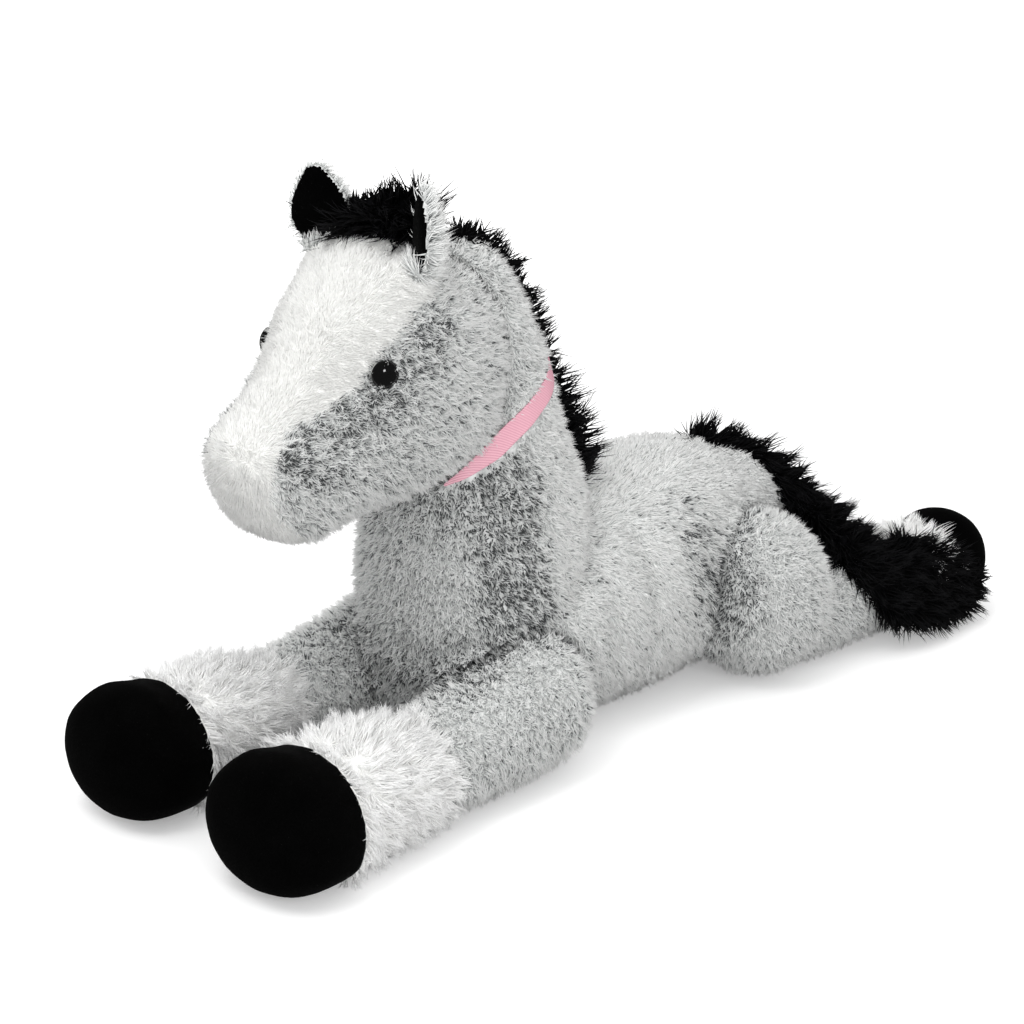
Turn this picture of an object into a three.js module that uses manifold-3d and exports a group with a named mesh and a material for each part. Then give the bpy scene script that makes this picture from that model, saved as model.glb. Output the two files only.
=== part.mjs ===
// A large plush horse lying on its belly, in millimetres: +Z up, nose towards -Y, its left towards +X.
// The origin is under the belly, on the floor. Every stuffed chamber is a plush skin round its own filling.
// Head, ears, legs and tail each give a little at the seam that holds them. Such a seam is a cushion, a
// surface of revolution about the axis that the piece turns on, lying in a socket of the same shape.
import * as THREE from "three";
import { mergeVertices } from "three/addons/utils/BufferGeometryUtils.js";
import Module from "manifold-3d";

const wasm = await Module();
wasm.setup();

// Fabric, and how pieces meet
const skinThickness = 6; // backing and the pile that lies on it
const seamGap = 0.3; // between two pieces that touch
const tailGap = 0.8; // between the tail and the leg that it lies along
const floorFlat = 0.5; // how far the weight flattens what lies on the floor
const farReach = 2000; // half the size of the blocks that only cut
const fillingShort = 4; // between filling and the next piece's skin
const weldReach = 0.0003; // points nearer than this are one

// Torso, from the chest to the rump
const torso = { chestY: -115, run: 315, halfWidth: 102, height: 190, chestRound: 50, rumpRound: 62 };
const torsoShares = [
  // along the run, of the half width, of the height
  [0, 0.74, 0.78],
  [0.19, 0.88, 0.88],
  [0.45, 0.98, 0.94],
  [0.63, 1, 0.98],
  [0.82, 0.86, 1],
  [1, 0.62, 0.89],
];

// Neck, a column that stands in the chest and ends at the poll
const neck = { foot: 74, rise: 288, lean: 18, halfWidth: 84, depth: 108, pollRound: 28 };
const neckSeatShare = 0.092; // of the torso's run
const neckShares = [
  // along the rise, of the lean, of the half width, crest and throat of the depth
  [0, 0, 0.98, 0.9, 0.78],
  [0.26, -0.3, 0.98, 0.92, 0.85],
  [0.44, -0.5, 0.9, 0.8, 0.82],
  [0.63, -0.2, 0.77, 0.62, 0.67],
  [0.865, 0.3, 0.68, 0.5, 0.54],
  [1, 1, 0.55, 0.43, 0.4],
];

// Head: cheeks that turn in the neck, and the face in front of them
const head = {
  ahead: 47, // of the poll's middle
  below: 47, // the poll's middle
  tilt: 25, // degrees, nose down
  cheekRadius: 80,
  cheekHalfWidth: 76,
  run: 130, // from the cheeks' middle to the muzzle's
  halfWidth: 75,
  depth: 88,
  muzzleRound: 45,
  crownRound: 50,
  nodUp: 10, // degrees
  nodDown: 8, // degrees
};
const faceShares = [
  // along the run, of the half width, up and down of the depth
  [0, 1.05, 1.1, 0.9],
  [0.36, 0.98, 0.91, 0.9],
  [0.7, 0.82, 0.62, 0.74],
  [1, 0.72, 0.52, 0.62],
];
const blazeShares = [
  // the white panel's edge, seen from the side: along the run, up of the depth
  [-0.34, 1.6],
  [-0.34, 0.92],
  [-0.1, 0.7],
  [0.2, 0.73],
  [0.4, 0.69],
  [0.62, 0.54],
  [0.99, 0.42],
  [1.15, 0.33],
  [1.24, 0.1],
  [1.22, -0.22],
  [1.1, -0.5],
  [1.06, -1.6],
];

// Ears
const ear = {
  length: 58,
  halfWidth: 24,
  back: 13, // plush behind the edge seam
  front: 5, // lining in front of it
  turn: 34, // degrees, how far the lining faces inwards
  lean: 7, // degrees, outwards
  footRadius: 9,
  footHalfWidth: 17,
  liningEdge: 3, // plush left showing round the lining
  foldForward: 25, // degrees
  foldBack: 15, // degrees
};
const earSeatShares = [0.64, -0.077, 0.92]; // of the head's half width, run and depth
const earClearings = { head: 4, forelock: 25 }; // at how many angles the ear's room is cut there
const earShares = [
  // along the length, of the half width, of the thickness
  [0.04, 0.66, 0.8],
  [0.3, 1, 1],
  [0.62, 0.84, 0.84],
  [0.88, 0.42, 0.5],
];
const earTipShare = 0.12; // of the length

// Eyes, held by a shank with a washer behind the plush
const eye = {
  radius: 10,
  dome: 7,
  sink: 2, // into the pile
  shankRadius: 3,
  shankLength: 16,
  washerRadius: 9,
  washerThickness: 2,
};
const eyeSeatShares = [0.446, 0.489]; // of the head's run and depth
const eyeTurnShares = [0.3, 0.22]; // forwards and upwards, of the way it points to the side

// Yarn fringes, sewn along the crest and aslant across the poll
const mane = { height: 26, halfWidth: 9, round: 8, sink: 4 };
const maneShares = [1.4, 1.4, 1.15, 0.75, 0.6, 0.5]; // of its height, from the withers to the poll
const forelock = {
  halfWidth: 38,
  height: 34,
  root: 20,
  depth: 16,
  round: 14,
  skew: 11, // how much further forwards its right end is sewn than its middle
};
const forelockSeatShares = [-0.27, 1]; // of the head's run and depth
const forelockFallShare = 0.25; // how much lower its ends are

// Tail: a sewn dock on the rump, then a fringe that hangs behind the left haunch and along the left hind leg
const tail = {
  dockRadius: 14,
  dockHalfWidth: 17,
  pastSeam: 24, // how far its end lies past the hoof's seam
  endRise: 30, // of its end, above the floor
  halfWidth: 35,
  halfThickness: 14,
  startRound: 4,
  endRound: 12,
};
const tailSeatShares = [0.96, 0.885]; // of the torso's run and height
// How far the body lies below the tail as it lifts, in degrees, where it is cleared of the leg and the torso
const tailPassAngles = { leg: [-2.5, -5, -7.5, -10, -15, -20, -25, -30], torso: [-45, -60] };
const tailShares = [
  // across, back and drop; half width and half thickness; the way it faces
  [0, 0, 0, 0.25, 0.75, 0, 0.3, 1],
  [0.07, 0.16, 0.08, 0.5, 0.9, 0, 0.5, 0.9],
  [0.16, 0.28, 0.22, 0.65, 1, 0.1, 0.8, 0.6],
  [0.34, 0.38, 0.45, 0.85, 1, 0.2, 0.8, 0.6],
  [0.6, 0.42, 0.61, 1.05, 1.1, 0.5, 0.6, 0.6],
  [0.84, 0.46, 0.76, 1.25, 1.1, 0.85, 0.3, 0.45],
  [0.95, 0.64, 0.87, 1.1, 1, 0.95, 0.1, 0.3],
  [0.98, 0.82, 0.95, 0.9, 0.95, 1, 0, 0.3],
  [0.97, 1, 1, 0.55, 0.8, 1, 0, 0.2],
];

// Ribbon, round the neck
const ribbon = { width: 16, thickness: 1.2, tilt: 28 };
const ribbonSeatShare = 0.68; // of the neck's rise, at the neck's middle

// Legs, from the seam in the body to the toe
const foreleg = {
  seatShares: [0.706, 0.057], // of the torso's half width and run
  seamRadius: 55,
  seamHalfHeight: 56,
  run: 213, // to the hoof's seam
  toeSpread: 79,
  thigh: 51,
  ankle: 41,
  cuffLength: 97,
  cuffRadius: 48,
  cuffBroad: 1.1, // its width, of its height
  hoofRadius: 49,
  hoofBroad: 1.2,
  hoofLength: 70,
  soleLength: 26,
  way: -1, // forwards
};
const hindleg = {
  seatShares: [0.79, 0.87],
  seamRadius: 67,
  seamHalfHeight: 71,
  run: 201,
  toeSpread: 101,
  thigh: 43,
  ankle: 33,
  cuffLength: 56,
  cuffRadius: 43,
  cuffBroad: 1,
  hoofRadius: 43,
  hoofBroad: 1,
  hoofLength: 63,
  soleLength: 22,
  way: 1, // backwards
};
const spreadShares = [0, 0.4, 0.75, 0.85, 0.95, 1, 1, 1]; // across, from the seam to the toe
const thighShares = [
  // along the bare leg, of the thigh
  [0, 0.86],
  [0.35, 1],
];
const thighRoundShare = 0.5; // how far a leg reaches behind its seam, of the thigh
const cuffShares = [
  // along the cuff, of its radius
  [0.25, 0.95],
  [0.7, 1],
];
const hoofShares = [
  // along the hoof, of its radius; how far it stands off the floor, of its radius
  [0, 0.9, 0],
  [0.36, 1, 0],
  [0.64, 0.94, 0.06],
];
const hindTuck = 14; // degrees, how far a hind leg swings in
const tuckClearings = { bed: 3, tail: 7 }; // at how many angles its room is cut there

// How finely the forms are drawn, and how square their rings are: an ellipse has 2
const sides = { wide: 16, leg: 12, small: 8, seam: 12 };
const steps = { torso: 7, neck: 8, face: 6, ear: 5, forelock: 3, mane: 9, tail: 12, leg: 9, dome: 6 };
const capShare = 1 / 6; // rings in a round end, of a ring's sides
const squareness = { stuffed: 2.3, leg: 2.15, face: 2.8 };
const backwards = new THREE.Vector3(0, 1, 0);
const leftwards = new THREE.Vector3(1, 0, 0);
const upwards = new THREE.Vector3(0, 0, 1);

// A closed geometry as a solid. One that came out inside out is turned round.
function solid(geometry) {
  const bare = geometry.index ? geometry.toNonIndexed() : geometry.clone();
  bare.deleteAttribute("normal");
  bare.deleteAttribute("uv");
  const merged = mergeVertices(bare, weldReach);
  const triVerts = new Uint32Array(merged.index.array);
  const vertProperties = new Float32Array(merged.attributes.position.array);
  const made = new wasm.Manifold(new wasm.Mesh({ numProp: 3, vertProperties, triVerts }));
  if (made.volume() > 0) return made;
  for (let i = 0; i < triVerts.length; i += 3) {
    [triVerts[i + 1], triVerts[i + 2]] = [triVerts[i + 2], triVerts[i + 1]];
  }
  return new wasm.Manifold(new wasm.Mesh({ numProp: 3, vertProperties, triVerts }));
}

// Rings of points, one behind the other, closed by a point at each end.
function closedRings(first, rings, last) {
  const count = rings[0].length;
  const points = [first, ...rings.flat(), last];
  const index = [];
  const at = (ring, k) => 1 + ring * count + (k % count);
  for (let k = 0; k < count; k += 1) {
    index.push(0, at(0, k + 1), at(0, k));
    index.push(points.length - 1, at(rings.length - 1, k), at(rings.length - 1, k + 1));
    for (let r = 0; r + 1 < rings.length; r += 1) {
      index.push(at(r, k), at(r, k + 1), at(r + 1, k));
      index.push(at(r, k + 1), at(r + 1, k + 1), at(r + 1, k));
    }
  }
  return new THREE.BufferGeometry().setFromPoints(points).setIndex(index);
}

const curveThrough = (points) => new THREE.CatmullRomCurve3(points, false, "catmullrom");

// A stuffed form: rings that swell and taper between the stations of a centre line, with round ends. A
// station has its middle, its half sizes to the side, up and down, and which way up is. Inset draws the
// surface in. The rings stand square to the form's course, or else to the centre line.
function stuffed(form, inset = 0) {
  const { stations, course, startRound, endRound, around, square = squareness.stuffed } = form;
  const middles = curveThrough(stations.map((s) => s.middle));
  const halves = curveThrough(stations.map((s) => new THREE.Vector3(s.side, s.up, s.down)));
  const ways = curveThrough(stations.map((s) => s.way ?? upwards));
  const ring = (u, offset, scale) => {
    const tangent = course ?? middles.getTangent(u);
    const middle = middles.getPoint(u).addScaledVector(tangent, offset);
    const way = ways.getPoint(u);
    const up = way.addScaledVector(tangent, -way.dot(tangent)).normalize();
    const side = new THREE.Vector3().crossVectors(up, tangent);
    const half = halves.getPoint(u).subScalar(inset).multiplyScalar(scale);
    return Array.from({ length: around }, (_, k) => {
      const angle = (2 * Math.PI * k) / around;
      const [c, s] = [Math.cos(angle), Math.sin(angle)];
      const out = Math.sign(c) * Math.abs(c) ** (2 / square) * half.x;
      const rise = Math.sign(s) * Math.abs(s) ** (2 / square) * (s > 0 ? half.y : half.z);
      return middle.clone().addScaledVector(side, out).addScaledVector(up, rise);
    });
  };
  const capSteps = Math.round(around * capShare);
  const cap = (u, round) =>
    Array.from({ length: capSteps }, (_, i) => {
      const angle = (Math.PI / 2) * ((i + 1) / (capSteps + 1));
      return ring(u, round * Math.sin(angle), Math.cos(angle));
    });
  const startCap = inset - startRound;
  const endCap = endRound - inset;
  const body = Array.from({ length: form.steps + 1 }, (_, i) => ring(i / form.steps, 0, 1));
  const first = middles.getPoint(0).addScaledVector(course ?? middles.getTangent(0), startCap);
  const last = middles.getPoint(1).addScaledVector(course ?? middles.getTangent(1), endCap);
  return solid(closedRings(first, [...cap(0, startCap).reverse(), ...body, ...cap(1, endCap)], last));
}

// The cushion of a seam, a surface of revolution about the axis that its piece turns on.
function cushion(middle, axis, radius, halfWidth, around) {
  const half = around / 2;
  const profile = Array.from({ length: half + 1 }, (_, i) => {
    const angle = Math.PI * (i / half - 1 / 2);
    return new THREE.Vector2(i % half ? radius * Math.cos(angle) : 0, halfWidth * Math.sin(angle));
  });
  const turn = new THREE.Quaternion().setFromUnitVectors(backwards, axis);
  const geometry = new THREE.LatheGeometry(profile, around).applyQuaternion(turn);
  return solid(geometry.translate(...middle.toArray()));
}

// Its socket clears the cushion's corners as it turns. The wide one, for filling, also clears a finer
// cushion.
const socket = (middle, axis, radius, halfWidth, around, gap = seamGap) =>
  cushion(middle, axis, radius / Math.cos(Math.PI / around) + gap, halfWidth + gap, around);
function wideSocket(middle, axis, radius, halfWidth) {
  const flat = Math.cos(Math.PI / sides.small);
  return cushion(middle, axis, radius / flat / flat + seamGap, halfWidth / flat + seamGap, sides.small);
}

// A surface of revolution whose profile, out from the axis and along it, starts and ends on the axis.
function lathed(profile, middle, axis, around) {
  const geometry = new THREE.LatheGeometry(profile.map((p) => new THREE.Vector2(...p)), around);
  const turn = new THREE.Quaternion().setFromUnitVectors(backwards, axis);
  return solid(geometry.applyQuaternion(turn).translate(...middle.toArray()));
}

function block(low, high) {
  const size = high.clone().sub(low);
  const middle = high.clone().add(low).divideScalar(2);
  return solid(new THREE.BoxGeometry(...size.toArray()).translate(...middle.toArray()));
}
const aboveFloor = block(
  new THREE.Vector3(-farReach, -farReach, 0),
  new THREE.Vector3(farReach, farReach, farReach),
);

// Everything between two distances along Y.
const between = (a, b) =>
  block(
    new THREE.Vector3(-farReach, Math.min(a, b), -farReach),
    new THREE.Vector3(farReach, Math.max(a, b), farReach),
  );

// A solid turned about an axis through a point, in degrees.
function turned(shape, { middle, axis }, degrees) {
  const turn = new THREE.Matrix4()
    .makeTranslation(middle)
    .multiply(new THREE.Matrix4().makeRotationAxis(axis, THREE.MathUtils.degToRad(degrees)))
    .multiply(new THREE.Matrix4().makeTranslation(middle.clone().negate()));
  return shape.transform(turn.elements);
}

// A solid less the way that a mover takes as it turns. The mover has its room, middle and axis, and the
// angles at which its room is cut.
const clearOf = (shape, mover, room = mover.room) =>
  mover.angles.reduce((left, angle) => left.subtract(turned(room, mover, angle)), shape);

// The largest of the bodies that a cut has left.
const largest = (shape) => shape.decompose().sort((a, b) => b.volume() - a.volume())[0];

function geometryOf(shape) {
  const { vertProperties, triVerts } = shape.getMesh();
  const geometry = new THREE.BufferGeometry();
  geometry.setAttribute("position", new THREE.BufferAttribute(new Float32Array(vertProperties), 3));
  return geometry.setIndex(new THREE.BufferAttribute(new Uint32Array(triVerts), 1));
}

// Materials
const finish = (color, roughness) => new THREE.MeshStandardMaterial({ color, roughness, metalness: 0 });
const greyPlush = () => finish(0xb4b7b9, 1);
const whitePlush = () => finish(0xf4f4f2, 1);
const filling = () => finish(0xf7f6f2, 1);
const blackVelvet = () => finish(0x0b0b0c, 0.95);
const blackYarn = () => finish(0x0e0e10, 0.9);
const pinkRibbon = () => finish(0xe9a9bb, 0.5);
const blackPlastic = () => finish(0x060606, 0.12);
const washerPlastic = () => finish(0xdcdcd8, 0.5);

const model = new THREE.Group();

// A group that pieces hang in, placed at the point that it turns about.
function bodyAt(parent, middle) {
  const group = new THREE.Group();
  group.position.copy(middle).sub(parent.getWorldPosition(new THREE.Vector3()));
  parent.add(group);
  group.updateMatrixWorld(true);
  return group;
}

function addPiece(parent, name, shape, material) {
  const origin = parent.getWorldPosition(new THREE.Vector3()).negate();
  const mesh = new THREE.Mesh(geometryOf(shape).translate(...origin.toArray()), material);
  mesh.name = name;
  parent.add(mesh);
}

// Forms of the torso and the neck
const alongTorso = (share) => torso.chestY + share * torso.run;
const torsoForm = {
  stations: torsoShares.map(([along, width, height]) => {
    const half = (height * torso.height) / 2;
    return {
      middle: new THREE.Vector3(0, alongTorso(along), half - floorFlat),
      side: width * torso.halfWidth,
      up: half,
      down: half,
    };
  }),
  course: backwards,
  startRound: torso.chestRound,
  endRound: torso.rumpRound,
  steps: steps.torso,
  around: sides.wide,
};
const neckFootY = alongTorso(neckSeatShare);
const neckForm = {
  stations: neckShares.map(([rise, lean, width, crest, throat]) => ({
    middle: new THREE.Vector3(0, neckFootY - lean * neck.lean, neck.foot + rise * neck.rise),
    side: width * neck.halfWidth,
    up: crest * neck.depth,
    down: throat * neck.depth,
    way: backwards,
  })),
  course: upwards,
  startRound: neck.pollRound,
  endRound: neck.pollRound,
  steps: steps.neck,
  around: sides.wide,
};
const coarse = (form) => ({ ...form, around: sides.small });
const poll = neckForm.stations.at(-1).middle;

// Legs: one form from the seam to the toe. Hand is 1 on the left, -1 on the right.
const seamOf = ({ seatShares: [across, along], seamHalfHeight }, hand) =>
  new THREE.Vector3(hand * across * torso.halfWidth, alongTorso(along), seamHalfHeight - floorFlat);

function legForm(size, hand) {
  const seam = seamOf(size, hand);
  const bare = size.run - size.cuffLength;
  const rings = [
    ...thighShares.map(([along, wide]) => [along * bare, wide * size.thigh]),
    [bare, size.ankle],
    ...cuffShares.map(([along, wide]) => [
      bare + along * size.cuffLength,
      wide * size.cuffRadius,
      size.cuffBroad,
    ]),
    ...hoofShares.map(([along, wide, off]) => [
      size.run + along * size.hoofLength,
      wide * size.hoofRadius,
      size.hoofBroad,
      off * size.hoofRadius,
    ]),
  ];
  return {
    stations: rings.map(([along, radius, broad = 1, off = 0], i) => ({
      middle: new THREE.Vector3(
        seam.x + (hand * size.toeSpread - seam.x) * spreadShares[i],
        seam.y + size.way * along,
        radius + off - floorFlat,
      ),
      side: radius * broad,
      up: radius,
      down: radius,
    })),
    course: backwards.clone().multiplyScalar(size.way),
    startRound: thighRoundShare * size.thigh,
    endRound: size.hoofLength * (1 - hoofShares.at(-1)[0]),
    steps: steps.leg,
    around: sides.leg,
    square: squareness.leg,
  };
}

function legOf(name, size, hand, angles) {
  const form = legForm(size, hand);
  const middle = seamOf(size, hand);
  const drawnIn = (inset, shape, around) =>
    stuffed(shape, inset).add(
      cushion(middle, upwards, size.seamRadius - inset, size.seamHalfHeight - inset, around),
    );
  const roomWith = (gap) =>
    stuffed(form, -gap).add(
      socket(middle, upwards, size.seamRadius, size.seamHalfHeight, sides.seam, gap),
    );
  const outer = drawnIn(0, form, sides.seam);
  const shell = outer.subtract(drawnIn(skinThickness, coarse(form), sides.small));
  const core = drawnIn(skinThickness + seamGap, coarse(form), sides.small);
  const hoofSeam = middle.y + size.way * size.run;
  const cuffSeam = hoofSeam - size.way * size.cuffLength;
  const soleSeam = hoofSeam + size.way * (size.hoofLength - size.soleLength);
  const gap = size.way * seamGap;
  const far = size.way * farReach;
  const pieces = [
    ["skin", shell.intersect(between(-far, cuffSeam - gap)), greyPlush()],
    ["cuff", shell.intersect(between(cuffSeam, hoofSeam - gap)), whitePlush()],
    ["hoof_band", shell.intersect(between(hoofSeam, soleSeam - gap)), blackVelvet()],
    ["hoof_sole", shell.intersect(between(soleSeam, far)), blackVelvet()],
    ["filling", core, filling()],
  ];
  const coarseRoom = stuffed(coarse(form), -fillingShort).add(
    wideSocket(middle, upwards, size.seamRadius, size.seamHalfHeight),
  );
  return { name, middle, axis: upwards, roomWith, room: roomWith(seamGap), coarseRoom, angles, pieces };
}
// Swinging out, a leg leaves its bed, so only the way in is cut.
const tuckAngles = (count, hand) =>
  Array.from({ length: count }, (_, i) => hand * hindTuck * (i / (count - 1)));
const hindlegLeft = legOf("hindleg_left", hindleg, 1, tuckAngles(tuckClearings.bed, 1));
const legs = [
  legOf("foreleg_left", foreleg, 1, [0]),
  legOf("foreleg_right", foreleg, -1, [0]),
  hindlegLeft,
  legOf("hindleg_right", hindleg, -1, tuckAngles(tuckClearings.bed, -1)),
];

// Head
const headMiddle = new THREE.Vector3(0, poll.y - head.ahead, poll.z - head.below);
const tilt = THREE.MathUtils.degToRad(head.tilt);
const faceWay = new THREE.Vector3(0, -Math.cos(tilt), -Math.sin(tilt));
const faceUp = new THREE.Vector3(0, -Math.sin(tilt), Math.cos(tilt));
const onFace = (side, along, up) =>
  headMiddle
    .clone()
    .addScaledVector(leftwards, side)
    .addScaledVector(faceWay, along)
    .addScaledVector(faceUp, up);
const faceForm = {
  stations: faceShares.map(([along, width, up, down]) => ({
    middle: onFace(0, along * head.run, 0),
    side: width * head.halfWidth,
    up: up * head.depth,
    down: down * head.depth,
    way: faceUp,
  })),
  course: faceWay,
  startRound: head.crownRound,
  endRound: head.muzzleRound,
  steps: steps.face,
  around: sides.wide,
  square: squareness.face,
};
const headDrawnIn = (inset, form, around) =>
  stuffed(form, inset).add(
    cushion(headMiddle, leftwards, head.cheekRadius - inset, head.cheekHalfWidth - inset, around),
  );
const headOuter = headDrawnIn(0, faceForm, sides.seam);
const headShell = headOuter.subtract(headDrawnIn(skinThickness, coarse(faceForm), sides.small));
const headCore = headDrawnIn(skinThickness + seamGap, coarse(faceForm), sides.small);
const headMover = {
  middle: headMiddle,
  axis: leftwards,
  angles: [-head.nodUp, (head.nodDown - head.nodUp) / 2, head.nodDown],
  room: stuffed(faceForm, -seamGap).add(
    socket(headMiddle, leftwards, head.cheekRadius, head.cheekHalfWidth, sides.seam),
  ),
};

// The white panel's outline, carried right across the head. Grow moves its edge back and down.
function blazeBlock(grow) {
  const edge = blazeShares.map(([along, up]) => [along * head.run - grow, up * head.depth - grow]);
  const reach = [
    [farReach, edge.at(-1)[1]],
    [farReach, edge[0][1]],
  ];
  const outline = new THREE.Shape([...edge, ...reach].map(([x, y]) => new THREE.Vector2(x, y)));
  const geometry = new THREE.ExtrudeGeometry(outline, { depth: farReach, bevelEnabled: false });
  geometry.translate(0, 0, -farReach / 2);
  const across = new THREE.Vector3().crossVectors(faceWay, faceUp);
  const frame = new THREE.Matrix4().makeBasis(faceWay, faceUp, across).setPosition(headMiddle);
  return solid(geometry.applyMatrix4(frame));
}

// Ears: a plush back and a velvet lining sewn round their edge, on a rolled foot
function earOf(name, hand) {
  const turn = THREE.MathUtils.degToRad(ear.turn);
  const lean = THREE.MathUtils.degToRad(ear.lean);
  const [side, along, up] = earSeatShares;
  const middle = onFace(hand * side * head.halfWidth, along * head.run, up * head.depth);
  const behind = new THREE.Vector3(hand * Math.sin(turn), Math.cos(turn), 0);
  const across = new THREE.Vector3(Math.cos(turn), -hand * Math.sin(turn), 0);
  const rise = upwards.clone().applyAxisAngle(behind, hand * lean);
  const sideways = across.clone().applyAxisAngle(behind, hand * lean);
  const form = {
    stations: earShares.map(([along, width, thick]) => ({
      middle: middle.clone().addScaledVector(rise, along * ear.length),
      side: width * ear.halfWidth,
      up: thick * ear.back,
      down: thick * ear.front,
      way: behind,
    })),
    startRound: ear.front,
    endRound: earTipShare * ear.length,
    steps: steps.ear,
    around: sides.leg,
  };
  const thin = {
    ...form,
    stations: form.stations.map((s) => ({ ...s, side: s.side - ear.liningEdge })),
    endRound: form.endRound - ear.liningEdge,
  };
  const frame = new THREE.Matrix4().makeBasis(sideways, rise, behind).setPosition(middle);
  const frontHalf = (edge) => {
    const half = new THREE.BoxGeometry(farReach, farReach, farReach);
    return solid(half.translate(0, 0, edge - farReach / 2).applyMatrix4(frame));
  };
  const footRoom = socket(middle, sideways, ear.footRadius, ear.footHalfWidth, sides.small);
  const foot = cushion(middle, sideways, ear.footRadius, ear.footHalfWidth, sides.small);
  const lining = stuffed(thin).intersect(frontHalf(0)).subtract(footRoom);
  const back = stuffed(form).subtract(frontHalf(seamGap)).add(foot);
  const pieces = [
    ["back", largest(back), greyPlush()],
    ["lining", largest(lining), blackVelvet()],
  ];
  return { name, middle, axis: sideways, room: stuffed(form, -seamGap), footRoom, pieces };
}
const ears = [earOf("ear_left", 1), earOf("ear_right", -1)];

// A foot turns in one socket. What stands above it takes more room, cut at so many angles.
function clearOfEars(shape, count) {
  const angles = Array.from({ length: count }, (_, i) =>
    THREE.MathUtils.lerp(-ear.foldBack, ear.foldForward, i / (count - 1)),
  );
  return ears.reduce((left, mover) => clearOf(left.subtract(mover.footRoom), { ...mover, angles }), shape);
}

// Eyes
function eyeOf(name, hand) {
  const seat = onFace(0, eyeSeatShares[0] * head.run, eyeSeatShares[1] * head.depth);
  const axis = leftwards
    .clone()
    .multiplyScalar(hand)
    .addScaledVector(faceWay, eyeTurnShares[0])
    .addScaledVector(faceUp, eyeTurnShares[1])
    .normalize();
  const side = leftwards.clone().multiplyScalar(hand);
  const caster = new THREE.Raycaster(seat, side);
  const bothSides = new THREE.MeshBasicMaterial({ side: THREE.DoubleSide });
  const target = new THREE.Mesh(geometryOf(headOuter), bothSides);
  const middle = caster.intersectObject(target).at(-1).point.addScaledVector(axis, -eye.sink);
  const button = (grow) => [
    [0, -eye.shankLength - grow],
    [eye.shankRadius + grow, -eye.shankLength - grow],
    [eye.shankRadius + grow, -grow],
    ...Array.from({ length: steps.dome }, (_, i) => {
      const angle = (Math.PI / 2) * (i / steps.dome);
      return [(eye.radius + grow) * Math.cos(angle), i ? (eye.dome + grow) * Math.sin(angle) : -grow];
    }),
    [0, eye.dome + grow],
  ];
  const washerTop = eye.sink - skinThickness - seamGap;
  const ring = (grow) => [
    [eye.shankRadius + seamGap - grow, washerTop + grow],
    [eye.shankRadius + seamGap - grow, washerTop - eye.washerThickness - grow],
    [eye.washerRadius + grow, washerTop - eye.washerThickness - grow],
    [eye.washerRadius + grow, washerTop + grow],
    [eye.shankRadius + seamGap - grow, washerTop + grow],
  ];
  const room = lathed(button(seamGap), middle, axis, sides.leg).add(
    lathed(ring(seamGap), middle, axis, sides.leg),
  );
  const pieces = [
    [name, lathed(button(0), middle, axis, sides.leg), blackPlastic()],
    [`${name}_washer`, lathed(ring(0), middle, axis, sides.leg), washerPlastic()],
  ];
  return { room, pieces };
}
const eyes = [eyeOf("eye_left", 1), eyeOf("eye_right", -1)];

// Forelock, between the ears
const forelockForm = {
  stations: [-1, 0, 1].map((share) => ({
    middle: onFace(
      share * (forelock.halfWidth - forelock.round),
      forelockSeatShares[0] * head.run - share * forelock.skew,
      forelockSeatShares[1] * head.depth,
    ),
    side: forelock.depth,
    up: forelock.height * (1 - Math.abs(share) * forelockFallShare),
    down: forelock.root,
  })),
  startRound: forelock.round,
  endRound: forelock.round,
  steps: steps.forelock,
  around: sides.leg,
};
const forelockShape = largest(
  clearOfEars(
    stuffed(forelockForm).subtract(headDrawnIn(-seamGap, faceForm, sides.seam)),
    earClearings.forelock,
  ),
);

// Mane, along the crest
const crestAt = (station) =>
  station.middle.clone().addScaledVector(backwards, station.up).addScaledVector(backwards, -mane.sink);
const maneLine = [
  ...neckForm.stations.slice(1).map(crestAt),
  poll.clone().addScaledVector(upwards, neck.pollRound - mane.sink).addScaledVector(backwards, mane.round),
];
const maneForm = {
  stations: maneLine.map((middle, i) => ({
    middle,
    side: mane.halfWidth,
    up: maneShares[i] * mane.height + mane.sink,
    down: mane.sink,
    way: backwards.clone().add(upwards),
  })),
  startRound: mane.round,
  endRound: mane.round,
  steps: steps.mane,
  around: sides.small,
};

// Tail
const dock = new THREE.Vector3(0, alongTorso(tailSeatShares[0]), tailSeatShares[1] * torso.height);
const tailEnd = new THREE.Vector3(
  hindleg.toeSpread + hindleg.cuffRadius,
  seamOf(hindleg, 1).y + hindleg.run + tail.pastSeam,
  tail.endRise,
);
const tailReach = tailEnd.clone().sub(dock);
const tailForm = {
  stations: tailShares.map(([across, back, drop, wide, thick, ...way]) => ({
    middle: dock.clone().add(new THREE.Vector3(across, back, drop).multiply(tailReach)),
    side: wide * tail.halfWidth,
    up: thick * tail.halfThickness,
    down: thick * tail.halfThickness,
    way: new THREE.Vector3(...way),
  })),
  startRound: tail.startRound,
  endRound: tail.endRound,
  steps: steps.tail,
  around: sides.leg,
};
// It lifts square to the way it lies. Lifting, it passes the leg that it lies along.
const tailAxis = new THREE.Vector3(tailReach.y, -tailReach.x, 0).normalize();
const tailDock = cushion(dock, tailAxis, tail.dockRadius, tail.dockHalfWidth, sides.small);
const tailMover = {
  middle: dock,
  axis: tailAxis,
  angles: [0],
  room: socket(dock, tailAxis, tail.dockRadius, tail.dockHalfWidth, sides.small),
};
const passing = (angles) => ({ middle: dock, axis: tailAxis, angles });

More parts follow.
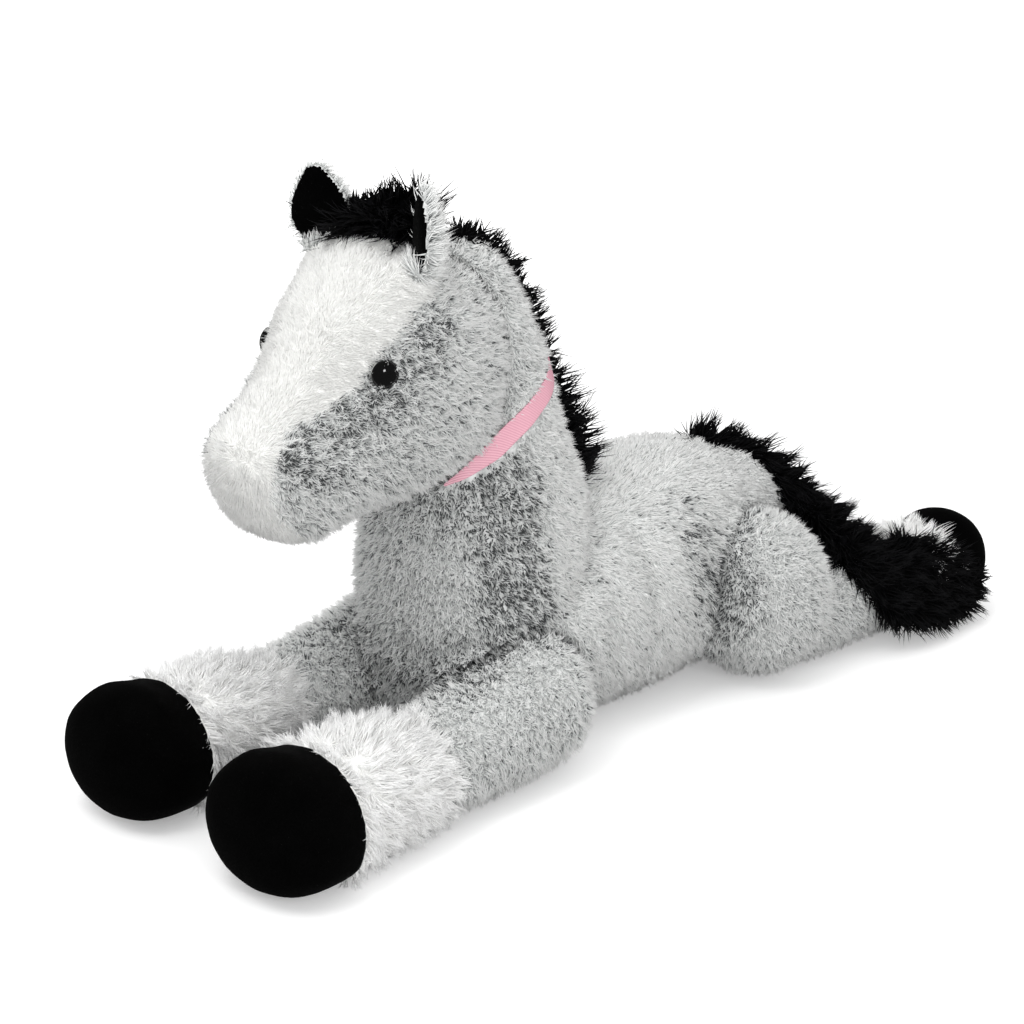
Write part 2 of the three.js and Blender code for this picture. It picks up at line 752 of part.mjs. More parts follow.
// Ribbon
function ribbonOf() {
  const slab = new THREE.BoxGeometry(farReach, farReach, ribbon.width);
  const turn = new THREE.Matrix4()
    .makeRotationAxis(leftwards, THREE.MathUtils.degToRad(ribbon.tilt))
    .setPosition(0, neckFootY, neck.foot + ribbonSeatShare * neck.rise);
  return stuffed(neckForm, -seamGap - ribbon.thickness)
    .subtract(stuffed(neckForm, -seamGap))
    .intersect(solid(slab.applyMatrix4(turn)));
}

// The body's own pieces, cut by all that moves in them
const clearOfLegs = (shape) => legs.reduce((left, leg) => clearOf(left, leg), shape);
const coreClear = (shape) => legs.reduce((left, leg) => clearOf(left, leg, leg.coarseRoom), shape);
const torsoRoom = stuffed(torsoForm, -seamGap);
const torsoShell = stuffed(torsoForm).subtract(stuffed(coarse(torsoForm), skinThickness));
const neckShell = stuffed(neckForm).subtract(stuffed(coarse(neckForm), skinThickness));
const torsoCore = stuffed(coarse(torsoForm), skinThickness + seamGap);
const neckCore = stuffed(coarse(neckForm), skinThickness + seamGap);
const ribbonShape = clearOf(ribbonOf(), headMover);
const ribbonRoom = stuffed(neckForm, -2 * seamGap - ribbon.thickness);
const grounded = (shape) => largest(shape.intersect(aboveFloor));
const root = bodyAt(model, new THREE.Vector3());
const addRoot = (name, shape, material) => addPiece(root, name, grounded(shape), material);
addRoot("torso_skin", clearOf(clearOfLegs(torsoShell), tailMover), greyPlush());
addRoot("torso_filling", clearOf(coreClear(torsoCore), tailMover), filling());
addRoot("neck_skin", clearOf(clearOfLegs(neckShell), headMover).subtract(torsoRoom), greyPlush());
addRoot(
  "neck_filling",
  clearOf(coreClear(neckCore), headMover).subtract(torsoRoom),
  filling(),
);
addRoot("collar_ribbon", ribbonShape, pinkRibbon());
addRoot(
  "mane_fringe",
  clearOf(clearOf(stuffed(maneForm), headMover), headMover, forelockShape)
    .subtract(stuffed(neckForm, -seamGap))
    .subtract(ribbonRoom)
    .subtract(torsoRoom),
  blackYarn(),
);

for (const leg of legs) {
  const group = bodyAt(root, leg.middle);
  for (const [part, shape, material] of leg.pieces) {
    addPiece(group, `${leg.name}_${part}`, grounded(shape), material);
  }
}

const tailGroup = bodyAt(root, dock);
const legByTail = hindlegLeft.roomWith(tailGap);
const besideTail = { ...hindlegLeft, room: legByTail, angles: tuckAngles(tuckClearings.tail, 1) };
const onTorso = clearOf(
  stuffed(tailForm).subtract(torsoRoom),
  passing(tailPassAngles.torso),
  torsoRoom,
);
const onLeg = clearOf(
  clearOf(onTorso.add(tailDock), besideTail),
  passing(tailPassAngles.leg),
  legByTail,
);
addPiece(tailGroup, "tail_fringe", grounded(onLeg), blackYarn());

const headGroup = bodyAt(root, headMiddle);
const clearOfFeatures = (shape) =>
  eyes.reduce((left, { room }) => left.subtract(room), clearOfEars(shape, earClearings.head));
const headSkin = clearOfFeatures(headShell);
const cheeks = headSkin.subtract(blazeBlock(Math.SQRT2 * seamGap));
addPiece(headGroup, "head_cheeks", largest(cheeks), greyPlush());
addPiece(headGroup, "head_blaze", largest(headSkin.intersect(blazeBlock(0))), whitePlush());
addPiece(headGroup, "head_filling", largest(clearOfFeatures(headCore)), filling());
addPiece(headGroup, "forelock_fringe", forelockShape, blackYarn());
for (const { pieces } of eyes) {
  for (const [name, shape, material] of pieces) {
    addPiece(headGroup, name, shape, material);
  }
}
for (const { name, middle, pieces } of ears) {
  const group = bodyAt(headGroup, middle);
  for (const [part, shape, material] of pieces) {
    addPiece(group, `${name}_${part}`, shape, material);
  }
}

export default model;
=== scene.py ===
import math

import bmesh
import bpy
import numpy as np
from mathutils import Matrix, Vector
from mathutils.bvhtree import BVHTree


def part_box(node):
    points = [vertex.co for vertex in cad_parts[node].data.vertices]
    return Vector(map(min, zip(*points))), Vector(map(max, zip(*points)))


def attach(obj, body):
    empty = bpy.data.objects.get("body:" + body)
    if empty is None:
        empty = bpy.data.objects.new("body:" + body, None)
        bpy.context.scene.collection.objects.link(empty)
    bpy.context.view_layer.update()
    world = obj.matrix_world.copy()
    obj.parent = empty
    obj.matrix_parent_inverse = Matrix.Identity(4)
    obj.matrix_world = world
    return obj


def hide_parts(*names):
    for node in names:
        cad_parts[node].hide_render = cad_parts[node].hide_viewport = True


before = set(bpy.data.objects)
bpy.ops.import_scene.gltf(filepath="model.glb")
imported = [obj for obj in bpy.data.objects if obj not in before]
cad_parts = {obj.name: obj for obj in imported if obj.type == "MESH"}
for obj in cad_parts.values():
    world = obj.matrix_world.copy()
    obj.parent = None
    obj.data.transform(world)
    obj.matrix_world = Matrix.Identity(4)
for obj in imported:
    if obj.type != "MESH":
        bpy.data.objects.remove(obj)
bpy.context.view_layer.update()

bl_info = {
    "name": "Plush horse",
    "version": (1, 0, 0),
    "blender": (4, 5, 0),
    "location": "3D View > Sidebar > Horse",
    "description": "A large plush horse lying on its belly, with its pile, fringes, velvet and ribbon",
    "category": "Object",
}


# Colours

def linear(code):
    """A colour written as sRGB hex, in the linear light that Blender works in."""
    shares = [int(code[i:i + 2], 16) / 255 for i in (1, 3, 5)]
    return [c / 12.92 if c <= 0.04045 else ((c + 0.055) / 1.055) ** 2.4 for c in shares]


def rgba(colour):
    """A colour as a socket takes it, from sRGB hex or from one of the settings."""
    shares = linear(colour) if isinstance(colour, str) else colour
    return (*shares, 1.0)


# Node trees

MATHS = "ShaderNodeMath"
VECTOR = "ShaderNodeVectorMath"
NOISE = "ShaderNodeTexNoise"
RAMP = "ShaderNodeValToRGB"
BUMP = "ShaderNodeBump"
SPLIT = "ShaderNodeSeparateXYZ"
JOIN = "ShaderNodeCombineXYZ"
RANDOM = "FunctionNodeRandomValue"
MAP_RANGE = "ShaderNodeMapRange"


def add(tree, kind, links=None, stops=(), **settings):
    """One node. Links give its inputs, by name or place: each a value, a socket, or a node, for its first
    output. Stops are a colour ramp's places and colours."""
    made = tree.nodes.new(kind)
    for name, value in settings.items():
        setattr(made, name, value)
    for number, (place, colour) in enumerate(stops):
        elements = made.color_ramp.elements
        element = elements[number] if number < len(elements) else elements.new(place)
        element.position = place
        element.color = rgba(colour)
    for key, value in (links or {}).items():
        if isinstance(value, bpy.types.Node):
            value = value.outputs[0]
        if isinstance(value, bpy.types.NodeSocket):
            tree.links.new(value, made.inputs[key])
        else:
            made.inputs[key].default_value = value
    return made


def new_material(name):
    """A material with its node tree and its main shader."""
    made = bpy.data.materials.new(name)
    made.use_nodes = True
    tree = made.node_tree
    return made, tree, tree.nodes["Principled BSDF"]


# Objects

def new_object(name, data):
    """An object in the scene."""
    made = bpy.data.objects.new(name, data)
    bpy.context.scene.collection.objects.link(made)
    return made


def mesh_of(shape, name):
    """The shape as a mesh. The shape isn't used again."""
    mesh = bpy.data.meshes.new(name)
    shape.to_mesh(mesh)
    shape.free()
    return mesh


# Finishes

def pile_material(name, stops, roughness, spread):
    """Cut pile. Each strand is dark at its root and pale at its tip, and no two are quite alike: the map's
    first coordinate is the strand's shade, and its second runs from root to tip."""
    made, tree, shader = new_material(name)
    place = add(tree, "ShaderNodeUVMap", uv_map="OFBake")
    parts = add(tree, SPLIT, {0: place}).outputs
    shift = add(tree, MATHS, {0: parts["X"], 1: 0.5}, operation="SUBTRACT")
    scaled = add(tree, MATHS, {0: shift, 1: spread}, operation="MULTIPLY")
    along = add(tree, MATHS, {0: parts["Y"], 1: scaled}, operation="ADD")
    colour = add(tree, RAMP, {"Fac": along}, stops=stops)
    tree.links.new(colour.outputs["Color"], shader.inputs["Base Color"])
    shader.inputs["Roughness"].default_value = roughness
    shader.inputs["Specular IOR Level"].default_value = 0.12
    return made


def backing_material(name, dark, pale, clump):
    """The knitted ground that the pile stands in: dull and uneven, and seen only between the strands. Clump
    is the size of its loops' clusters in metres."""
    made, tree, shader = new_material(name)
    place = add(tree, "ShaderNodeTexCoord").outputs["Object"]
    grain = add(tree, NOISE, {"Vector": place, "Scale": 1 / clump, "Detail": 3.0})
    colour = add(tree, RAMP, {"Fac": grain}, stops=[(0.35, dark), (0.65, pale)])
    tree.links.new(colour.outputs["Color"], shader.inputs["Base Color"])
    bump = add(tree, BUMP, {"Height": grain, "Distance": 0.002, "Strength": 0.8})
    tree.links.new(bump.outputs["Normal"], shader.inputs["Normal"])
    shader.inputs["Roughness"].default_value = 0.95
    shader.inputs["Specular IOR Level"].default_value = 0.1
    return made


def velvet_material(name, dark, pale):
    """Short pile velvet: black, with a soft lighter bloom of painted sheen where its nap is brushed."""
    made, tree, shader = new_material(name)
    place = add(tree, "ShaderNodeTexCoord").outputs["Object"]
    # Patches of painted sheen are about 22 mm across
    nap = add(tree, NOISE, {"Vector": place, "Scale": 45.0, "Detail": 4.0})
    # The grain of the nap is 1.2 mm here, drawn coarser than the real 0.5 mm so that it shows
    grain = add(tree, NOISE, {"Vector": place, "Scale": 800.0, "Detail": 1.0})
    # Painted sheen in lighter patches, broken up by the nap's own grain
    both = add(tree, MATHS, {0: nap, 1: grain}, operation="MULTIPLY")
    colour = add(tree, RAMP, {"Fac": both}, stops=[(0.12, dark), (0.42, pale)])
    tree.links.new(colour.outputs["Color"], shader.inputs["Base Color"])
    bump = add(tree, BUMP, {"Height": grain, "Distance": 0.0005, "Strength": 0.6})
    tree.links.new(bump.outputs["Normal"], shader.inputs["Normal"])
    shader.inputs["Roughness"].default_value = 0.9
    shader.inputs["Specular IOR Level"].default_value = 0.05
    shader.inputs["Sheen Weight"].default_value = 0.006
    shader.inputs["Sheen Roughness"].default_value = 0.4
    return made


def plastic_material(name, colour, roughness):
    """Moulded plastic. Fine wear from handling, in patches of 3 mm, breaks up its gloss."""
    made, tree, shader = new_material(name)
    place = add(tree, "ShaderNodeTexCoord").outputs["Object"]
    wear = add(tree, NOISE, {"Vector": place, "Scale": 300.0, "Detail": 3.0})
    spread = add(tree, MAP_RANGE, {"Value": wear, "To Min": roughness, "To Max": roughness * 2})
    tree.links.new(spread.outputs["Result"], shader.inputs["Roughness"])
    shader.inputs["Base Color"].default_value = rgba(colour)
    shader.inputs["IOR"].default_value = 1.49
    return made


RIB_SLANT = math.radians(62)
WAVE_LENGTH = 0.314  # of the wave texture at scale 1


def ribbon_material(name, dark, pale, rib):
    """Woven satin ribbon. Fine slanted ribs cross it on a UV map that follows it. The ribs are painted paler,
    as painted sheen, and the hollows between them darker, as painted shade. Rib is their distance in metres,
    drawn coarser than the real 0.4 mm so that they show."""
    made, tree, shader = new_material(name)
    place = add(tree, "ShaderNodeUVMap", uv_map="weave")
    turn = add(tree, "ShaderNodeMapping", {"Vector": place, "Rotation": (0, 0, RIB_SLANT)})
    ribs = add(tree, "ShaderNodeTexWave", {"Vector": turn, "Scale": WAVE_LENGTH / rib, "Distortion": 0.4,
                                           "Detail": 1.0, "Detail Scale": 3.0}).outputs["Fac"]
    # Painted sheen on the ribs and painted shade between them
    colour = add(tree, RAMP, {"Fac": ribs}, stops=[(0.0, dark), (1.0, pale)])
    tree.links.new(colour.outputs["Color"], shader.inputs["Base Color"])
    bump = add(tree, BUMP, {"Height": ribs, "Distance": 0.0002, "Strength": 0.5})
    tree.links.new(bump.outputs["Normal"], shader.inputs["Normal"])
    shader.inputs["Roughness"].default_value = 0.42
    shader.inputs["Anisotropic"].default_value = 0.4
    return made


# The pile's node tree, and the numbers that every pile shares

LEAST_APART = 0.72  # between two strands, as a share of the spacing
CROWDING = 1.6  # points tried for each square of the spacing
SHORTEST, LONGEST = 0.72, 1.15  # a strand, as a share of the length
STIR = 1.6  # how far the edges of the tufts wander, in tufts
SWIRL, STRAY = 2.4, 0.45  # how far a tuft, and a strand alone, turn from the nap
RISE = 0.6  # how much steeper a strand is at its foot
BROAD_SCALE = 26.0  # patches of shade are about 38 mm across
SINGLE = 0.08  # a strand's own change of shade, up or down
HEART, TUFT_SHADE = 0.45, 0.7  # a tuft is paler in its middle, and each has a shade of its own
PLAIN_DEPTH, DARK_DEPTH = 0.5, 3.0  # contrast in even pile, and what darker pile adds
CLUMP_SCALE, CLUMP_FROM, CLUMP_GAIN = 0.45, 0.38, 8.0  # where dark strands gather, in tufts
EDGE_FROM, EDGE_GAIN = 0.2, 2.2  # dark strands stand at the edges of tufts
DARKER = 0.45  # how much darker they are
MIDDLE_SHADE = 0.58
DARKEST, PALEST = 0.03, 0.97
FLOOR_GAP = 0.0004
ACROSS = 0.03  # change of shade from one side of a strand to the other


def pile_tree():
    """Strands that stand in a base's faces, in tufts that draw together. The base gives attributes of its
    points: pile, 0 where none grows, nap, the way the strands lie, grow, a share of their length, tint, how
    much paler they are, and dark, the share of dark ones. Each strand is a slim cone with three sides."""
    tree = bpy.data.node_groups.new("Pile", "GeometryNodeTree")
    face = tree.interface

    def asked(name, kind, value=None):
        """One of the tree's own inputs."""
        made = face.new_socket(name=name, in_out="INPUT", socket_type=kind)
        if value is not None:
            made.default_value = value

    asked("Geometry", "NodeSocketGeometry")
    # Spacing, Length, Width and Tuft are in metres, and the others are shares
    for name, value in {"Spacing": 0.0023, "Length": 0.012, "Width": 0.0014, "Lean": 0.6, "Ruffle": 0.5,
                        "Tuft": 0.006, "Pull": 0.5, "Depth": 0.25, "Uneven": 0.2, "Bend": 0.5,
                        "Patches": 0.2}.items():
        asked(name, "NodeSocketFloat", value)
    asked("Joints", "NodeSocketInt", 2)
    asked("Seed", "NodeSocketInt", 1)
    asked("Finish", "NodeSocketMaterial")
    face.new_socket(name="Geometry", in_out="OUTPUT", socket_type="NodeSocketGeometry")
    given = add(tree, "NodeGroupInput").outputs
    # What the base gives, and what the strands are given below
    read = {}
    for kind, names in (("FLOAT", ("pile", "grow", "tint", "dark", "along", "around", "shade")),
                        ("FLOAT_VECTOR", ("nap", "droop"))):
        for name in names:
            read[name] = add(tree, "GeometryNodeInputNamedAttribute", {"Name": name}, data_type=kind)
    # Random numbers for each strand, from seeds of their own
    luck = {}
    for name, least, most, shift in (
        ("size", SHORTEST, LONGEST, 7),
        ("single", -SINGLE, SINGLE, 3),
        ("pick", 0.0, 1.0, 9),
        ("spin", 0.0, 6.28, 5),
    ):
        seed = add(tree, MATHS, {0: given["Seed"], 1: shift}, operation="ADD")
        luck[name] = add(tree, RANDOM, {2: least, 3: most, "Seed": seed}, data_type="FLOAT").outputs[1]
    chance = add(tree, RANDOM, {"Min": (-1.0, -1.0, -1.0), "Max": (1.0, 1.0, 1.0), "Seed": given["Seed"]},
                 data_type="FLOAT_VECTOR")

    # The points that strands stand in
    square = add(tree, MATHS, {0: given["Spacing"], 1: given["Spacing"]}, operation="MULTIPLY")
    density = add(tree, MATHS, {0: CROWDING, 1: square}, operation="DIVIDE")
    apart = add(tree, MATHS, {0: given["Spacing"], 1: LEAST_APART}, operation="MULTIPLY")
    scatter = add(tree, "GeometryNodeDistributePointsOnFaces",
                  {"Mesh": given["Geometry"], "Distance Min": apart, "Density Max": density,
                   "Density Factor": read["pile"], "Seed": given["Seed"]}, distribute_method="POISSON")
    normal = scatter.outputs["Normal"]
    position = add(tree, "GeometryNodeInputPosition")

    # Strands lean to the middle of their tuft, which is an uneven cell
    per_tuft = add(tree, MATHS, {0: 1.0, 1: given["Tuft"]}, operation="DIVIDE")
    swirl = add(tree, NOISE, {"Vector": position, "Scale": per_tuft, "Detail": 1.0}).outputs["Color"]
    stir = add(tree, VECTOR, {0: swirl, 1: (0.5, 0.5, 0.5)}, operation="SUBTRACT")
    wander = add(tree, MATHS, {0: given["Tuft"], 1: STIR}, operation="MULTIPLY")
    aside = add(tree, VECTOR, {0: stir, "Scale": wander}, operation="SCALE")
    stirred = add(tree, VECTOR, {0: position, 1: aside}, operation="ADD")
    cells = add(tree, "ShaderNodeTexVoronoi", {"Vector": stirred, "Scale": per_tuft}).outputs
    to_middle = add(tree, VECTOR, {0: cells["Position"], 1: stirred}, operation="SUBTRACT")
    inwards = add(tree, VECTOR, {0: to_middle, "Scale": per_tuft}, operation="SCALE")
    off_middle = add(tree, VECTOR, {0: inwards}, operation="LENGTH").outputs["Value"]
    number = add(tree, SPLIT, {0: cells["Color"]})
    of_tuft = add(tree, MATHS, {0: number, 1: 0.5}, operation="SUBTRACT")

    # Which way a strand goes: up from the skin, along the nap, with its tuft and a little by itself
    swirled = add(tree, VECTOR, {0: stir, "Scale": SWIRL}, operation="SCALE")
    strayed = add(tree, VECTOR, {0: chance, "Scale": STRAY}, operation="SCALE")
    loose = add(tree, VECTOR, {0: swirled, 1: strayed}, operation="ADD")
    loosened = add(tree, VECTOR, {0: loose, "Scale": given["Ruffle"]}, operation="SCALE")
    pulled = add(tree, VECTOR, {0: inwards, "Scale": given["Pull"]}, operation="SCALE")
    ruffled = add(tree, VECTOR, {0: loosened, 1: pulled}, operation="ADD")
    lying = add(tree, VECTOR, {0: read["nap"], "Scale": given["Lean"]}, operation="SCALE")
    upright = add(tree, MATHS, {0: 1.0, 1: given["Lean"]}, operation="SUBTRACT")
    standing = add(tree, VECTOR, {0: normal, "Scale": upright}, operation="SCALE")
    leaning = add(tree, VECTOR, {0: standing, 1: lying}, operation="ADD")
    whole = add(tree, VECTOR, {0: leaning, 1: ruffled}, operation="ADD")
    way = add(tree, VECTOR, {0: whole}, operation="NORMALIZE")
    lifted = add(tree, VECTOR, {0: normal, "Scale": RISE}, operation="SCALE")
    steeper = add(tree, VECTOR, {0: way, 1: lifted}, operation="ADD")
    rise = add(tree, VECTOR, {0: steeper}, operation="NORMALIZE")

    # How long it is, and how far its tip droops
    uneven = add(tree, MATHS, {0: of_tuft, 1: given["Uneven"]}, operation="MULTIPLY")
    reach = add(tree, MATHS, {0: 1.0, 1: uneven}, operation="ADD")
    cut = add(tree, MATHS, {0: given["Length"], 1: luck["size"]}, operation="MULTIPLY")
    grown_to = add(tree, MATHS, {0: cut, 1: read["grow"]}, operation="MULTIPLY")
    tall = add(tree, MATHS, {0: grown_to, 1: reach}, operation="MULTIPLY")
    bend = add(tree, MATHS, {0: tall, 1: given["Bend"]}, operation="MULTIPLY")
    fall = add(tree, VECTOR, {0: way, 1: rise}, operation="SUBTRACT")
    droop = add(tree, VECTOR, {0: fall, "Scale": bend}, operation="SCALE")

    # Its shade, from broad patches, the tuft and the strand
    patch = add(tree, NOISE, {"Vector": position, "Scale": BROAD_SCALE, "Detail": 3.0})
    centred = add(tree, MATHS, {0: patch, 1: 0.5}, operation="SUBTRACT")
    broad = add(tree, MATHS, {0: centred, 1: given["Patches"]}, operation="MULTIPLY")
    heart = add(tree, MATHS, {0: HEART, 1: off_middle}, operation="SUBTRACT")
    own = add(tree, MATHS, {0: of_tuft, 1: TUFT_SHADE}, operation="MULTIPLY")
    between = add(tree, MATHS, {0: heart, 1: own}, operation="ADD")
    deeper = add(tree, MATHS, {0: read["dark"], 1: DARK_DEPTH}, operation="MULTIPLY")
    deep = add(tree, MATHS, {0: PLAIN_DEPTH, 1: deeper}, operation="ADD")
    contrast = add(tree, MATHS, {0: given["Depth"], 1: deep}, operation="MULTIPLY")
    of_cell = add(tree, MATHS, {0: between, 1: contrast}, operation="MULTIPLY")

    # Dark strands stand between the tufts, in clumps
    clump_scale = add(tree, MATHS, {0: per_tuft, 1: CLUMP_SCALE}, operation="MULTIPLY")
    clump = add(tree, NOISE, {"Vector": position, "Scale": clump_scale, "Detail": 2.0})
    rising = {}
    for name, value, least, gain in (("clumps", clump, CLUMP_FROM, CLUMP_GAIN),
                                     ("edge", off_middle, EDGE_FROM, EDGE_GAIN)):
        past = add(tree, MATHS, {0: value, 1: least}, operation="SUBTRACT")
        raised = add(tree, MATHS, {0: past, 1: gain}, operation="MULTIPLY")
        rising[name] = add(tree, MATHS, {0: raised, 1: 0.0}, operation="MAXIMUM")
    where = add(tree, MATHS, {0: rising["edge"], 1: rising["clumps"]}, operation="MULTIPLY")
    share = add(tree, MATHS, {0: read["dark"], 1: where}, operation="MULTIPLY")
    dark = add(tree, MATHS, {0: luck["pick"], 1: share}, operation="LESS_THAN")
    darkened = add(tree, MATHS, {0: dark, 1: DARKER}, operation="MULTIPLY")
    single = add(tree, MATHS, {0: luck["single"], 1: darkened}, operation="SUBTRACT")
    tinted = add(tree, MATHS, {0: single, 1: read["tint"]}, operation="ADD")
    middle = add(tree, MATHS, {0: MIDDLE_SHADE, 1: broad}, operation="ADD")
    of_place = add(tree, MATHS, {0: middle, 1: of_cell}, operation="ADD")
    total = add(tree, MATHS, {0: of_place, 1: tinted}, operation="ADD")
    not_black = add(tree, MATHS, {0: total, 1: DARKEST}, operation="MAXIMUM")
    shade = add(tree, MATHS, {0: not_black, 1: PALEST}, operation="MINIMUM")

    # One strand is a unit cone, which keeps its points' places along it and across it
    keep = "GeometryNodeStoreNamedAttribute"
    points = add(tree, keep, {"Geometry": scatter.outputs["Points"], "Name": "droop", "Value": droop},
                 data_type="FLOAT_VECTOR", domain="POINT")
    points = add(tree, keep, {"Geometry": points, "Name": "shade", "Value": shade}, data_type="FLOAT",
                 domain="POINT")
    cone = add(tree, "GeometryNodeMeshCone",
               {"Vertices": 3, "Side Segments": given["Joints"], "Radius Top": 0.0, "Radius Bottom": 0.5,
                "Depth": 1.0}, fill_type="NONE").outputs["Mesh"]
    spot = add(tree, SPLIT, {0: position}).outputs
    for name, axis in (("along", "Z"), ("around", "X")):
        cone = add(tree, keep, {"Geometry": cone, "Name": name, "Value": spot[axis]}, data_type="FLOAT",
                   domain="POINT")
    turn = add(tree, "FunctionNodeAlignRotationToVector", {"Vector": rise}, axis="Z")
    spin = add(tree, JOIN, {"Z": luck["spin"]})
    spun = add(tree, "FunctionNodeRotateRotation", {"Rotation": turn, "Rotate By": spin},
               rotation_space="LOCAL")
    scale = add(tree, JOIN, {"X": given["Width"], "Y": given["Width"], "Z": tall})
    placed = add(tree, "GeometryNodeInstanceOnPoints",
                 {"Points": points, "Instance": cone, "Rotation": spun, "Scale": scale})
    real = add(tree, "GeometryNodeRealizeInstances", {"Geometry": placed})

    # It bends from its foot's rise to the way that it lies, and nothing passes the floor
    squared = add(tree, MATHS, {0: read["along"], 1: read["along"]}, operation="MULTIPLY")
    bent = add(tree, VECTOR, {0: read["droop"], "Scale": squared}, operation="SCALE")
    moved = add(tree, "GeometryNodeSetPosition", {"Geometry": real, "Offset": bent})
    height = add(tree, MATHS, {0: spot["Z"], 1: FLOOR_GAP}, operation="MAXIMUM")
    above = add(tree, JOIN, {"X": spot["X"], "Y": spot["Y"], "Z": height})
    moved = add(tree, "GeometryNodeSetPosition", {"Geometry": moved, "Position": above})

    # The finish reads the shade and the place along the strand, kept just inside the map
    side = add(tree, MATHS, {0: read["around"], 1: ACROSS}, operation="MULTIPLY")
    across = add(tree, MATHS, {0: read["shade"], 1: side}, operation="ADD")
    shrunk = add(tree, MATHS, {0: read["along"], 1: 0.98}, operation="MULTIPLY")
    up = add(tree, MATHS, {0: 0.01, 1: shrunk}, operation="ADD")
    flat = add(tree, JOIN, {"X": across, "Y": up})
    moved = add(tree, keep, {"Geometry": moved, "Name": "OFBake", "Value": flat}, data_type="FLOAT2",
                domain="CORNER")
    for name in ("along", "around", "droop", "shade"):
        moved = add(tree, "GeometryNodeRemoveAttribute", {"Geometry": moved, "Name": name})
    shaded = add(tree, "GeometryNodeSetMaterial", {"Geometry": moved, "Material": given["Finish"]})
    end = add(tree, "NodeGroupOutput")
    tree.links.new(shaded.outputs[0], end.inputs[0])
    return tree


def grown(base, name, body, look, **sizes):
    """The strands of one base, as a mesh of its own that rides on its body. Sizes are the tree's inputs."""
    tree = bpy.data.node_groups.get("Pile") or pile_tree()
    modifier = base.modifiers.new("pile", "NODES")
    modifier.node_group = tree
    given = {"Finish": look, **sizes}
    for item in tree.interface.items_tree:
        if item.in_out == "INPUT" and item.name in given:
            modifier[item.identifier] = given[item.name]
    mesh = evaluated_mesh(base)
    base.modifiers.remove(modifier)
    mesh.name = name
    made = new_object(name, mesh)
    mesh.shade_smooth()
    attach(made, body)
    return made


# Stuffed forms

FLOOR_REST = 0.0012  # a skin's height above the floor, under its pile
EYE_RING = 0.0008  # bare, round an eye
RIBBON_RING = 0.0022  # bare, at the ribbon
COVERED = 0.0006  # a skin this near another piece grows no pile
OVER_SKIN = 0.006  # from a drawn-in skin out to the solid's face


def smooth_step(values, low, high):
    """0 up to low, 1 from high, and a soft step between them."""
    share = np.clip((values - low) / (high - low), 0, 1)
    return share * share * (3 - 2 * share)


def joined(nodes):
    """The frame's nodes as one mesh, with their doubles merged."""
    shape = bmesh.new()
    for node in nodes:
        shape.from_mesh(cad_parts[node].data)
    bmesh.ops.remove_doubles(shape, verts=shape.verts, dist=1e-6)
    return mesh_of(shape, "form")


def evaluated_mesh(made):
    """A new mesh with the object's modifiers applied."""
    bpy.context.view_layer.update()
    evaluated = made.evaluated_get(bpy.context.evaluated_depsgraph_get())
    return bpy.data.meshes.new_from_object(evaluated)


def finished(made, modifiers):
    """The object, with these modifiers applied to its mesh."""
    for kind, settings in modifiers:
        modifier = made.modifiers.new(kind, kind)
        for key, value in settings.items():
            setattr(modifier, key, value)
    mesh = evaluated_mesh(made)
    made.modifiers.clear()
    old = made.data
    made.data = mesh
    bpy.data.meshes.remove(old)
    return made


def points_of(mesh, kind="co"):
    """Each point's place, as one row."""
    flat = np.empty(len(mesh.vertices) * 3)
    mesh.vertices.foreach_get(kind, flat)
    return flat.reshape(-1, 3)


def normals_of(mesh):
    """Each point's normal, as one row."""
    return points_of(mesh, "normal")


def move_points(mesh, points):
    """Sets each point's place."""
    mesh.vertices.foreach_set("co", np.ascontiguousarray(points, dtype=float).ravel())
    mesh.update()


def stuffed(name, nodes, voxel, inset, puff, rounds=6):
    """A stuffed chamber: the frame's solids made one skin, rounded, drawn in by inset under the pile, and
    blown up by its filling, no further than puff. Inset is a length, or gives one for each point."""
    made = new_object(name, joined(nodes))
    finished(made, [("REMESH", {"mode": "VOXEL", "voxel_size": voxel})])
    largest_island(made.data)
    # Where another piece lies against this one, the skin keeps to its place
    free = smooth_step(gaps_to_others(made.data, nodes), 0.001, 0.012)
    group = made.vertex_groups.new(name="free")
    for i, share in enumerate(free):
        group.add([i], float(share), "REPLACE")
    finished(made, [("SMOOTH", {"factor": 0.5, "iterations": rounds, "vertex_group": "free"}),
                    ("SMOOTH", {"factor": 0.4, "iterations": 2})])
    made.vertex_groups.clear()
    points = points_of(made.data)
    depth = inset(points) if callable(inset) else np.full(len(points), inset)
    move_points(made.data, points - normals_of(made.data) * (depth * free)[:, None])
    if puff:
        puffed(made, puff * free[:, None])
    points = points_of(made.data)
    points[:, 2] = np.maximum(points[:, 2], FLOOR_REST)
    move_points(made.data, points)
    made.data.shade_smooth()
    return made


PUFF_FRAMES = 20


def puffed(made, cap):
    """Cloth under pressure, as filling presses on a sewn skin. No point moves further than its cap."""
    start = points_of(made.data)
    cloth = made.modifiers.new("filling", "CLOTH")
    cloth.settings.use_pressure = True
    cloth.settings.uniform_pressure_force = 4
    cloth.settings.effector_weights.gravity = 0
    cloth.settings.quality = 3
    cloth.point_cache.frame_start = 1
    cloth.point_cache.frame_end = PUFF_FRAMES
    scene = bpy.context.scene
    for number in range(1, PUFF_FRAMES + 1):
        scene.frame_set(number)
    evaluated = made.evaluated_get(bpy.context.evaluated_depsgraph_get())
    blown = points_of(evaluated.data)
    made.modifiers.clear()
    scene.frame_set(1)
    step = blown - start
    far = np.linalg.norm(step, axis=1, keepdims=True)
    move_points(made.data, start + step * np.minimum(1, cap / np.maximum(far, 1e-9)))


def tree_of(nodes):
    """Everything that these nodes take up, to test what lies near a skin."""
    points, faces = [], []
    for node in nodes:
        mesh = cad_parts[node].data
        base = len(points)
        points.extend(tuple(v.co) for v in mesh.vertices)
        faces.extend([base + i for i in p.vertices] for p in mesh.polygons)
    return BVHTree.FromPolygons(points, faces)


